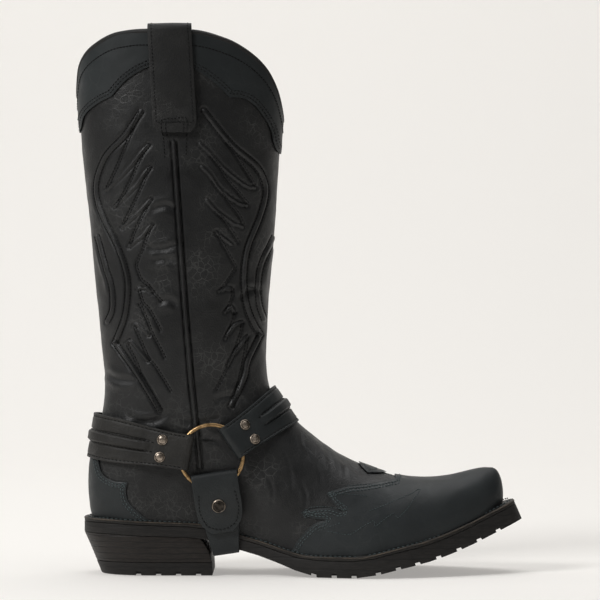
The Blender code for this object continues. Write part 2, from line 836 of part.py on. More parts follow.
def heel_outline(level, height, inset=0.0):
    """D-shaped loop of the heel: level counts 0 at the seat and 1 at the floor."""
    undercut = float(HEEL_LEVELS.at("undercut", level)) * HEEL_UNDERCUT
    back = HEEL_BACK_X + undercut + inset
    bottom_front = HEEL_BACK_X + HEEL_UNDERCUT + HEEL_BOTTOM_LENGTH
    front = bottom_front - (1.0 - float(HEEL_LEVELS.at("breast", level))) * BREAST_SETBACK - inset
    narrowing = float(HEEL_LEVELS.at("narrowing", level))
    points = []
    for sign, side, order in ((-1.0, "outer", 1), (1.0, "inner", -1)):
        for i in range(HEEL_STEPS + 1)[::order]:
            across = 1.0 - math.cos(math.pi / 2.0 * i / HEEL_STEPS)
            x = back + (front - back) * across
            seat = sole_half_width(x - undercut, side)
            floor_width = HEEL_BOTTOM_WIDTH / 2.0 * end_round(
                x - back + EDGE_FLAT, HEEL_ROUND * OUTSOLE_LENGTH * 0.9, HEEL_POWER)
            width = float(seat + (floor_width - seat) * narrowing) - inset
            points.append(Vector((x, sign * width, height(x))))
    return points


def seat_underside(x):
    """Height just under the outsole's heel seat."""
    depth = WELT_THICKNESS + SHANK_THICKNESS
    return float(sole_line(x)) - depth / abs(float(sole_normal(x)[1])) - CLEARANCE


def make_heel(parts, cutters):
    """Stacked leather heel and its rubber cap."""
    cap_top = HEEL_CAP_HEIGHT
    full = HEEL_HEIGHT - WELT_THICKNESS - SHANK_THICKNESS
    split = 1.0 - cap_top / full
    loops = []
    for k in range(HEEL_LAYERS + 1):
        down = k / HEEL_LAYERS
        loops.append(heel_outline(split * down, lambda x, down=down: seat_underside(x)
                                  + (cap_top + CLEARANCE - seat_underside(x)) * down))
    stack = loft("heel_stack", loops, BLACK_LEATHER, parts, in_strips=True)
    turn_out(stack)
    cap_loops = [heel_outline(split, lambda x: cap_top), heel_outline(1.0, lambda x: 0.0)]
    cap = loft("heel_cap", cap_loops, RUBBER, parts)
    turn_out(cap)
    boxes = []
    front = HEEL_BACK_X + HEEL_UNDERCUT + HEEL_BOTTOM_LENGTH
    for i in range(HEEL_GROOVE_COUNT):
        centre = Vector((front - LUG_PITCH * (i + 0.7), 0.0, 0.0))
        boxes.append(box_points(centre, Vector((1, 0, 0)), Vector((0, 1, 0)), Vector((0, 0, 1)),
                                (LUG_GROOVE / 2.0, BALL_WIDTH, LUG_DEPTH)))
    boolean(cap, add_boxes("heel_grooves", boxes, cutters), "DIFFERENCE")


class StrapFrame:
    """Side-view frame at a ring's centre: reach runs along a strap, across is its width."""

    def __init__(self, rise):
        self.centre = Vector((float(forward_x(RING_FORWARD)), 0.0, RING_HEIGHT))
        self.along = Vector((math.cos(rise), 0.0, math.sin(rise)))
        self.across = Vector((-math.sin(rise), 0.0, math.cos(rise)))

    def place(self, reach, y, across):
        return self.centre + self.along * reach + self.across * across + Vector((0.0, y, 0.0))

    def measure(self, point):
        offset = point - self.centre
        return offset.dot(self.along), point.y, offset.dot(self.across)

    def flatten(self, edges, half_width, start):
        """Reach and y of what lies under a strap, from its start on: clipped edges."""
        found = []
        for edge in edges:
            first, second = (self.measure(point) for point in edge)
            shares = [0.0, 1.0]
            for limit in (-half_width, half_width):
                if (first[2] - limit) * (second[2] - limit) < 0.0:
                    shares.append((limit - first[2]) / (second[2] - first[2]))
            for share in shares:
                reach, y, across = (a + (b - a) * share for a, b in zip(first, second))
                if abs(across) <= half_width + CLEARANCE and reach > start:
                    found.append((reach, y))
        return found


def leather_edges(layer):
    """Edges of everything that a strap is pulled over, with a layer on the upper."""
    rows = surface_grid(layer)
    count = len(rows[0])
    edges = []
    for i, row in enumerate(rows):
        above = rows[min(i + 1, len(rows) - 1)]
        for k in range(count):
            n = (k + 1) % count
            edges += [(row[k], row[n]), (row[k], above[k]), (row[k], above[n])]
    for side in ("outer", "inner"):
        for depth in (lambda share: 0.0, sole_depth):
            line = [sole_point(share, side, depth(share)) for share in sole_stations()]
            edges += list(zip(line, line[1:]))
    return edges


def ring_seat(edges):
    """How far out the leather reaches behind the rings."""
    centre = StrapFrame(0.0).centre
    reach = RING_RADIUS + RING_WIRE * 4.0
    return max(abs(p.y) for p, _ in edges
               if math.hypot(p.x - centre.x, p.z - centre.z) < reach and p.z > HEEL_HEIGHT)


def fold_radius():
    """From the ring's plane to the middle of the strap folded round its wire."""
    return RING_WIRE + CLEARANCE + STRAP_WALL / 2.0


def pulled_tight(frame, edges, half_width, start, seat):
    """Middle line of a strap round the boot, from one ring to the other, in the frame."""
    flat = frame.flatten(edges, half_width, start)
    flat += [(start, -seat), (start, seat)]
    order = geometry.convex_hull_2d([Vector(p) for p in flat])
    hull = [flat[i] for i in order]
    first = min(range(len(hull)), key=lambda i: math.hypot(hull[i][0] - start, hull[i][1] + seat))
    hull = hull[first:] + hull[:first]
    if math.hypot(hull[1][0] - start, hull[1][1] - seat) < CLEARANCE:
        hull = [hull[0]] + hull[:0:-1]
    hull = [p for i, p in enumerate(hull)
            if i == 0 or math.dist(p, hull[i - 1]) > CLEARANCE / 1000.0]
    offset = CLEARANCE + STRAP_WALL / 2.0
    line = []
    for i, (reach, y) in enumerate(hull):
        for j in (i - 1, i):
            if 0 <= j < len(hull) - 1:
                run, rise = hull[j + 1][0] - hull[j][0], hull[j + 1][1] - hull[j][1]
                size = math.hypot(run, rise)
                line.append((reach + rise / size * offset, y - run / size * offset))
    return thinned(line, CLEARANCE * 0.7)


def off_chord(point, start, end):
    """Distance of a point from the line through two others."""
    run, rise = end[0] - start[0], end[1] - start[1]
    return abs((point[0] - start[0]) * rise - (point[1] - start[1]) * run) / math.hypot(run, rise)


def thinned(line, tolerance):
    """Drops points that lie almost on the straight line between their kept neighbours."""
    kept = [0]
    for i in range(1, len(line) - 1):
        skipped = line[kept[-1] + 1:i + 1]
        if any(off_chord(p, line[kept[-1]], line[i + 1]) > tolerance for p in skipped):
            kept.append(i)
    return [line[i] for i in kept] + [line[-1]]


def strap_path(line, seat, start, join, end, fold_width):
    """Whole middle line: free end, fold round one ring, the boot, fold, free end."""
    radius = fold_radius()
    inner = seat + CLEARANCE + STRAP_WALL / 2.0
    plane = inner + radius
    fold_reach = math.sqrt(RING_RADIUS ** 2 - (fold_width / 2.0) ** 2)
    near = [p for p in line if p[1] < 0.0]
    reach_axis = [p[0] for p in near]
    depth_axis = [-p[1] for p in near]
    steps = max(4, int((end - fold_reach) / FREE_END_STEP))
    outer = []
    for k in range(steps + 1):
        reach = end + (fold_reach - end) * k / steps
        resting = float(np.interp(reach, reach_axis, depth_axis)) + STRAP_WALL + CLEARANCE
        lifted = plane + radius
        depth = resting + (lifted - resting) * float(smooth(join, start, reach))
        outer.append((reach, -depth))
    bend = []
    for k in range(1, FOLD_STEPS):
        angle = math.pi * k / FOLD_STEPS
        bend.append((fold_reach - radius * math.sin(angle), -(plane + radius * math.cos(angle))))
    side = outer + bend + [(fold_reach, -inner)]
    other = [(reach, -y) for reach, y in reversed(side)]
    return side + line + other, len(side), len(line)


def strap_solid(name, frame, path, widths, lifts, stations, parts, finish=STRAP_LEATHER):
    """Sweeps a strap: stations are shares of its width with their share of the lift."""
    vertices = []
    for i, (reach, y) in enumerate(path):
        before, after = path[max(i - 1, 0)], path[min(i + 1, len(path) - 1)]
        run, rise = after[0] - before[0], after[1] - before[1]
        size = math.hypot(run, rise)
        for share, lifted in stations:
            lift = lifts[i] * lifted
            vertices.append(frame.place(reach + rise / size * lift, y - run / size * lift,
                                        share * widths[i]))
    made = add_object(name, vertices, grid_faces(len(path), len(stations), False), finish, parts)
    solidify(made, STRAP_WALL, 0.0)
    return made


def dome_mesh(radius, height):
    """Low turned head, resting on its flat face, its axis along +Z."""
    shape = bmesh.new()
    profile = [(0.70, height * 0.8), (1.0, height * 0.2), (1.0, 0.0)]
    turns = [2.0 * math.pi * k / DOME_STEPS for k in range(DOME_STEPS)]
    rows = []
    for share, z in profile:
        rows.append([shape.verts.new((radius * share * math.cos(turn),
                                      radius * share * math.sin(turn), z)) for turn in turns])
    top = shape.verts.new((0.0, 0.0, height))
    for k in range(DOME_STEPS):
        n = (k + 1) % DOME_STEPS
        shape.faces.new((top, rows[0][k], rows[0][n]))
        for upper, lower in zip(rows, rows[1:]):
            shape.faces.new((upper[k], lower[k], lower[n], upper[n]))
    shape.faces.new(list(reversed(rows[-1])))
    mesh = bpy.data.meshes.new("dome")
    shape.to_mesh(mesh)
    shape.free()
    mesh.shade_smooth()
    mesh.set_sharp_from_angle(angle=math.radians(50.0))
    return mesh


def place_dome(name, mesh, frame, path, reach, across, sign, parts):
    """Seats a dome on the outer face of a strap's outer layer."""
    near = [p for p in path if p[1] < 0.0]
    layer = near[:next(i for i in range(1, len(near)) if near[i][0] > near[i - 1][0])]
    axis = sorted(layer)
    reaches = [p[0] for p in axis]
    depths = [-p[1] for p in axis]
    step = 0.004
    ahead = float(np.interp(reach + step, reaches, depths))
    behind = float(np.interp(reach - step, reaches, depths))
    slope = (ahead - behind) / (2.0 * step)
    size = math.hypot(1.0, slope)
    depth = float(np.interp(reach, reaches, depths))
    lift = STRAP_WALL / 2.0 + FIT_CLEARANCE
    spot = frame.place(reach - slope / size * lift, sign * (depth + lift / size), across)
    out = frame.along * (-slope / size) + Vector((0.0, sign / size, 0.0))
    made = bpy.data.objects.new(name, mesh)
    made.location = spot
    made.rotation_mode = "QUATERNION"
    made.rotation_quaternion = out.to_track_quat("Z", "Y")
    parts.objects.link(made)
    return made


RIDGED = [(-0.5, 0.0), (-0.11, 0.0), (-0.07, 1.0), (0.07, 1.0), (0.11, 0.0), (0.5, 0.0)]
PLAIN = [(-0.5, 0.0), (-0.17, 0.0), (0.17, 0.0), (0.5, 0.0)]


def make_harness(parts):
    """Rings, the three straps pulled over the boot between them, rivets and studs."""
    counter = OVERLAY_WALL + 2.0 * FIT_CLEARANCE
    seat = ring_seat(leather_edges(0.0))
    plane = seat + 2.0 * CLEARANCE + STRAP_WALL + RING_WIRE
    centre = StrapFrame(0.0).centre
    for side, sign in (("outer", -1.0), ("inner", 1.0)):
        bpy.ops.mesh.primitive_torus_add(
            major_radius=RING_RADIUS, minor_radius=RING_WIRE, major_segments=RING_SEGMENTS,
            minor_segments=RING_SIDES, location=(centre.x, sign * plane, centre.z),
            rotation=(math.pi / 2.0, 0.0, 0.0))
        ring = bpy.context.active_object
        ring.name = "ring_" + side
        ring.data.shade_smooth()
        ring.data.materials.append(material(ring.name, BRASS))
        for home in list(ring.users_collection):
            home.objects.unlink(ring)
        parts.objects.link(ring)

    rivet = dome_mesh(RIVET_RADIUS, RIVET_HEIGHT)
    rivet.materials.append(material("rivet", PEWTER))
    start = RING_RADIUS + RING_WIRE + CLEARANCE
    for name, rise, layer, along, shift in (
            ("back_strap", BACK_STRAP_RISE, counter, RIVET_REACH, 0.0),
            ("front_strap", FRONT_STRAP_RISE, 0.0, FRONT_RIVET_REACH, FRONT_RIVET_SHIFT)):
        frame = StrapFrame(rise)
        edges = leather_edges(layer)
        line = pulled_tight(frame, edges, STRAP_WIDTH / 2.0, start, seat)
        path, before, middle = strap_path(line, seat, start, STRAP_JOIN, STRAP_END, FOLD_WIDTH)
        widths = []
        lifts = []
        for i, (reach, _) in enumerate(path):
            widths.append(FOLD_WIDTH + (STRAP_WIDTH - FOLD_WIDTH)
                          * float(smooth(start, STRAP_FLARE, reach)))
            on_boot = before <= i < before + middle
            lifts.append(STRAP_RIDGE * float(smooth(STRAP_END, STRAP_END + 0.006, reach)) * on_boot)
        strap_solid(name, frame, path, widths, lifts, RIDGED, parts)
        for side, sign in (("outer", -1.0), ("inner", 1.0)):
            for level, across in (("upper", 1.0), ("lower", -1.0)):
                name_of = "{}_rivet_{}_{}".format(name.split("_")[0], side, level)
                place_dome(name_of, rivet, frame, path, along, across * RIVET_SPREAD + shift,
                           sign, parts)

    frame = StrapFrame(UNDER_STRAP_RISE)
    line = pulled_tight(frame, leather_edges(0.0), UNDER_WIDTH / 2.0, start, seat)
    path, before, middle = strap_path(line, seat, start, TAB_JOIN, TAB_END, TAB_WIDTH)
    widths = []
    for i, (reach, _) in enumerate(path):
        if before <= i < before + middle:
            widths.append(TAB_WIDTH + (UNDER_WIDTH - TAB_WIDTH)
                          * float(smooth(start, TAB_END - TAB_WIDTH / 4.0, reach)))
        else:
            widths.append(TAB_WIDTH * (0.45 + 0.55 * float(end_round(
                TAB_END - reach, TAB_WIDTH / 2.0, 2.0))))
    strap_solid("under_strap", frame, path, widths, [0.0] * len(path), PLAIN, parts)
    stud = dome_mesh(STUD_RADIUS, STUD_HEIGHT)
    stud.materials.append(material("stud", PEWTER))
    for side, sign in (("outer", -1.0), ("inner", 1.0)):
        place_dome("stud_" + side, stud, frame, path, STUD_REACH, 0.0, sign, parts)


def make_pull_straps(parts):
    """Folded straps over the collar at both side seams."""
    out = 2.0 * CLEARANCE + OVERLAY_WALL + PULL_WALL / 2.0
    into = -(UPPER_WALL + CLEARANCE + PULL_WALL / 2.0)
    rim = COLLAR_HEIGHT
    rows = []
    for k in range(PULL_ROWS + 1):
        drop = PULL_DROP * (1.0 - k / PULL_ROWS)
        rounding = float(end_round(PULL_DROP - drop + EDGE_FLAT, PULL_WIDTH / 3.0, 2.0))
        rows.append((rim - drop, out, 0.5 + 0.5 * rounding))
    for k in range(1, FOLD_STEPS):
        angle = math.pi * k / FOLD_STEPS
        rows.append((rim + PULL_LOOP_RISE * math.sin(angle),
                     (out + into) / 2.0 + (out - into) / 2.0 * math.cos(angle), 1.0))
    for k in range(4):
        rows.append((rim - PULL_INSIDE_DROP * k / 3.0, into, 1.0))
    for side, sign in (("outer", -1.0), ("inner", 1.0)):
        vertices = []
        for z, offset, share in rows:
            for across in (-0.5, -0.17, 0.17, 0.5):
                lean = PULL_LEAN * max(rim - z, 0.0) / PULL_DROP * (offset > 0.0)
                x = float(forward_x(PULL_FORWARD)) + lean + across * PULL_WIDTH * share
                width = float(half_width(x, min(z, rim), side))
                vertices.append(Vector((x, sign * (width + offset), z)))
        made = add_object("pull_strap_" + side, vertices, grid_faces(len(rows), 4, False),
                          STRAP_LEATHER, parts)
        solidify(made, PULL_WALL, 0.0)


def make_piping(parts):
    """Raised cord down each side seam, from the pull strap to the ring's tab."""
    low, high = PIPING_LINE.keys[0], PIPING_LINE.keys[-1]
    for side, sign in (("outer", -1.0), ("inner", 1.0)):
        vertices = []
        for k in range(PIPING_ROWS):
            height = low + (high - low) * k / (PIPING_ROWS - 1)
            x = float(forward_x(PIPING_LINE.at("forward", height)))
            z = float(real_height(x, height))
            for across, crown in ((-0.5, 0.0), (0.0, 0.3), (0.5, 0.0)):
                at = x + across * PIPING_WIDTH
                depth = float(half_width(at, z, side)) + CLEARANCE + PIPING_HEIGHT * (0.5 + crown)
                vertices.append(Vector((at, sign * depth, z)))
        made = add_object("side_piping_" + side, vertices, grid_faces(PIPING_ROWS, 3, False),
                          BLACK_LEATHER, parts)
        solidify(made, PIPING_HEIGHT, 0.0)


def main():
    for old in list(bpy.data.objects):
        bpy.data.objects.remove(old)
    parts = bpy.data.collections.new("harness_boot")
    cutters = bpy.data.collections.new("cutters")
    bpy.context.scene.collection.children.link(parts)
    bpy.context.scene.collection.children.link(cutters)
    make_upper(parts)
    make_insole(parts)
    make_welt(parts)
    make_outsole(parts, cutters)
    make_heel(parts, cutters)
    make_overlays(parts, cutters)
    make_pull_straps(parts)
    make_piping(parts)
    make_harness(parts)


main()
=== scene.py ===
"""Looks of a pull-on western harness boot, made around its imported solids.

The frame's +X points to the toe, +Y to the inner side of the foot and +Z up, in metres. The
fine leather surfaces come from the same form as the solids: rings round the boot, each read
from the side profiles and the plan of the sole. Creases, corded panels and stitch rows are
drawn on the side view and laid on that surface.
"""

import enum
import json
import logging
import math
from dataclasses import dataclass, field
from typing import Dict, List, Optional, Sequence, Tuple

import bmesh
import bpy
import numpy as np
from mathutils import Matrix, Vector
from mathutils.bvhtree import BVHTree

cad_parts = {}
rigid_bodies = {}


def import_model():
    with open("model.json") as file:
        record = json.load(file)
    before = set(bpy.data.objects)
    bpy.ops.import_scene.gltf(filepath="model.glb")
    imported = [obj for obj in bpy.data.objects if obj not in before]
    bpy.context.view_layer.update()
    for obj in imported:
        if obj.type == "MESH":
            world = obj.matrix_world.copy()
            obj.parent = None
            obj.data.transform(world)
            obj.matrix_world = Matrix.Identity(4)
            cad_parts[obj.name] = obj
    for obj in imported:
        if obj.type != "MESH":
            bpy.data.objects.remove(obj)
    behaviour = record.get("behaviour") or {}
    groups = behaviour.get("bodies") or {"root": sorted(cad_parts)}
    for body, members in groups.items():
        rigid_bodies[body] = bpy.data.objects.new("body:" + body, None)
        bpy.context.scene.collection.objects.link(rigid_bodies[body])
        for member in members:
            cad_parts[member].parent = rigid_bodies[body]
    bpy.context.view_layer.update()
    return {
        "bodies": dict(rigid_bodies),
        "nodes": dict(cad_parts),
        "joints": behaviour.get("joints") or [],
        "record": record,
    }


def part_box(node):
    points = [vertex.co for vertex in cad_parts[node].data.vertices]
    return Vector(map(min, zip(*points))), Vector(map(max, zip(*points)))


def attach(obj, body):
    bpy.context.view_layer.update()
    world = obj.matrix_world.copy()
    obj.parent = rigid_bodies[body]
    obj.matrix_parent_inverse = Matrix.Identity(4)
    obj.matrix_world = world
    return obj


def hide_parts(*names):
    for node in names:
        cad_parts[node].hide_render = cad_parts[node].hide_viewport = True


LOG = logging.getLogger("boot")
Pair = Tuple[float, float]
Colour = Tuple[float, float, float]


class Side(enum.Enum):
    """The two sides of the boot, with the sign of their Y."""

    OUTER = -1.0
    INNER = 1.0


class ShareTable:
    """Rows of shares with named columns, read as a curve that never overshoots."""

    def __init__(self, columns: Sequence[str], rows: Sequence[Sequence[float]]) -> None:
        """Keeps the rows and works out a slope at each.

        Args:
            columns: names of the columns, the key first.
            rows: one row of numbers for each station.
        """
        self.keys = np.array([row[0] for row in rows], dtype=float)
        self.values = {name: np.array([row[i] for row in rows], dtype=float)
                       for i, name in enumerate(columns)}
        self.slopes = {name: self._slopes(values) for name, values in self.values.items()}

    def _slopes(self, values: np.ndarray) -> np.ndarray:
        """Harmonic slopes, zero at every turning point.

        Args:
            values: one column.

        Returns:
            A slope for each row.
        """
        rises = np.diff(values) / np.diff(self.keys)
        slopes = np.zeros_like(values)
        slopes[0] = rises[0]
        slopes[-1] = rises[-1]
        for i in range(1, len(values) - 1):
            if rises[i - 1] * rises[i] > 0.0:
                slopes[i] = 2.0 * rises[i - 1] * rises[i] / (rises[i - 1] + rises[i])
        return slopes

    def at(self, column: str, key: np.ndarray) -> np.ndarray:
        """Reads a column.

        Args:
            column: the column's name.
            key: where to read it, a number or an array.

        Returns:
            The column's value at each key.
        """
        key = np.clip(np.asarray(key, dtype=float), self.keys[0], self.keys[-1])
        i = np.clip(np.searchsorted(self.keys, key) - 1, 0, len(self.keys) - 2)
        step = self.keys[i + 1] - self.keys[i]
        t = (key - self.keys[i]) / step
        low, high = self.values[column][i], self.values[column][i + 1]
        low_slope, high_slope = self.slopes[column][i], self.slopes[column][i + 1]
        return (low * (1 + 2 * t) * (1 - t) ** 2 + high * t * t * (3 - 2 * t)
                + step * (low_slope * t * (1 - t) ** 2 - high_slope * t * t * (1 - t)))


def smooth(low: float, high: float, value: np.ndarray) -> np.ndarray:
    """Smooth step from 0 at low to 1 at high."""
    t = np.clip((value - low) / (high - low), 0.0, 1.0)
    return t * t * (3.0 - 2.0 * t)


def end_round(distance: np.ndarray, length: float, power: float) -> np.ndarray:
    """Share of the full width left at a distance from a rounded end."""
    reach = np.clip(distance / length, 0.0, 1.0)
    return (1.0 - (1.0 - reach) ** power) ** (1.0 / power)


def smooth_line(points: Sequence[Pair], samples: int = 12) -> np.ndarray:
    """A smooth curve through points.

    Args:
        points: the points, in order.
        samples: steps between each pair.

    Returns:
        Dense points, one row each.
    """
    line = np.array(points, dtype=float)
    padded = np.vstack([2 * line[0] - line[1], line, 2 * line[-1] - line[-2]])
    dense = []
    for i in range(len(line) - 1):
        before, start, end, after = padded[i:i + 4]
        for k in range(samples):
            t = k / samples
            dense.append(0.5 * (2 * start + (end - before) * t
                                + (2 * before - 5 * start + 4 * end - after) * t ** 2
                                + (3 * start - before - 3 * end + after) * t ** 3))
    dense.append(line[-1])
    return np.array(dense)


# Top edge of the welt from the side: shares of the heel's rise and of the toe's
SOLE_LINE = ShareTable(
    ("along", "heel_rise", "toe_rise"),
    [(0.000, 1.00, 0.000), (0.035, 1.00, 0.000), (0.143, 0.94, 0.000), (0.259, 0.88, 0.000),
     (0.310, 0.75, 0.000), (0.355, 0.57, 0.000), (0.417, 0.35, 0.000), (0.461, 0.16, 0.000),
     (0.517, 0.01, 0.000), (0.558, 0.00, 0.000), (0.626, 0.00, 0.000), (0.652, 0.00, 0.040),
     (0.704, 0.00, 0.150), (0.766, 0.00, 0.270), (0.812, 0.00, 0.390), (0.864, 0.00, 0.560),
     (0.920, 0.00, 0.775), (0.979, 0.00, 1.000), (1.040, 0.00, 1.220)])

# Plan of the sole: half widths are shares of the ball's width
SOLE_PLAN = ShareTable(
    ("along", "outer", "inner", "edge", "outer_swell", "inner_swell"),
    [(0.00, 0.335, 0.330, 0.60, 0.010, 0.015), (0.10, 0.338, 0.332, 0.60, 0.020, 0.025),
     (0.20, 0.325, 0.312, 0.55, 0.035, 0.050), (0.30, 0.305, 0.270, 0.50, 0.060, 0.095),
     (0.40, 0.325, 0.250, 0.50, 0.055, 0.125), (0.50, 0.400, 0.300, 0.70, 0.015, 0.095),
     (0.58, 0.468, 0.390, 0.90, 0.000, 0.045), (0.66, 0.500, 0.465, 1.00, 0.000, 0.010),
     (0.72, 0.488, 0.500, 1.00, 0.000, 0.000), (0.80, 0.412, 0.462, 1.05, 0.000, 0.000),
     (0.87, 0.315, 0.372, 1.10, 0.000, 0.000), (0.93, 0.225, 0.288, 1.10, 0.000, 0.000),
     (0.97, 0.170, 0.232, 1.10, 0.000, 0.000), (1.00, 0.140, 0.200, 1.10, 0.000, 0.000)])

PIPING_LINE = ShareTable(
    ("height", "forward"),
    [(0.41, 0.2676), (0.62, 0.2608), (0.85, 0.2535), (1.02, 0.2472), (1.24, 0.2330),
     (1.50, 0.2190), (1.69, 0.2087)])
FRONT_PROFILE = [
    (0.9510, -0.03), (0.9535, 0.06), (0.9530, 0.15), (0.9485, 0.235), (0.9370, 0.310),
    (0.9150, 0.340), (0.8780, 0.352), (0.8320, 0.358), (0.7860, 0.375), (0.7330, 0.408),
    (0.6770, 0.468), (0.6230, 0.537), (0.5660, 0.617), (0.5030, 0.740), (0.4580, 0.852),
    (0.4350, 0.930), (0.4220, 1.000), (0.4155, 1.080), (0.4210, 1.240), (0.4330, 1.420),
    (0.4440, 1.640), (0.4505, 1.760)]
BACK_PROFILE = ShareTable(
    ("height", "forward"),
    [(-0.04, 0.0230), (0.10, 0.0160), (0.27, 0.0125), (0.41, 0.0150), (0.56, 0.0230),
     (0.72, 0.0350), (0.87, 0.0430), (1.00, 0.0455), (1.13, 0.0375), (1.25, 0.0275),
     (1.42, 0.0145), (1.60, -0.0005), (1.71, -0.0085), (1.83, -0.0145)])
SHAFT_WIDTHS = ShareTable(
    ("height", "width"),
    [(0.40, 0.84), (0.80, 0.82), (1.00, 0.83), (1.20, 0.89), (1.45, 0.95), (1.75, 0.99),
     (2.00, 1.00)])
RING_CLIMB = ShareTable(
    ("ring", "front", "back"),
    [(0.00, 0.000, 0.000), (0.16, 0.085, 0.070), (0.40, 0.290, 0.160), (0.60, 0.510, 0.315),
     (0.80, 0.750, 0.640), (1.00, 1.000, 1.000)])
COLLAR_LINE = ShareTable(
    ("turn", "rise"),
    [(0.000, 0.00), (0.030, 0.14), (0.075, 0.45), (0.190, 0.78), (0.310, 0.97),
     (0.390, 1.00), (0.540, 0.99), (0.650, 0.89), (0.740, 0.74), (0.820, 0.56),
     (0.885, 0.36), (0.950, 0.13), (1.000, 0.00)])


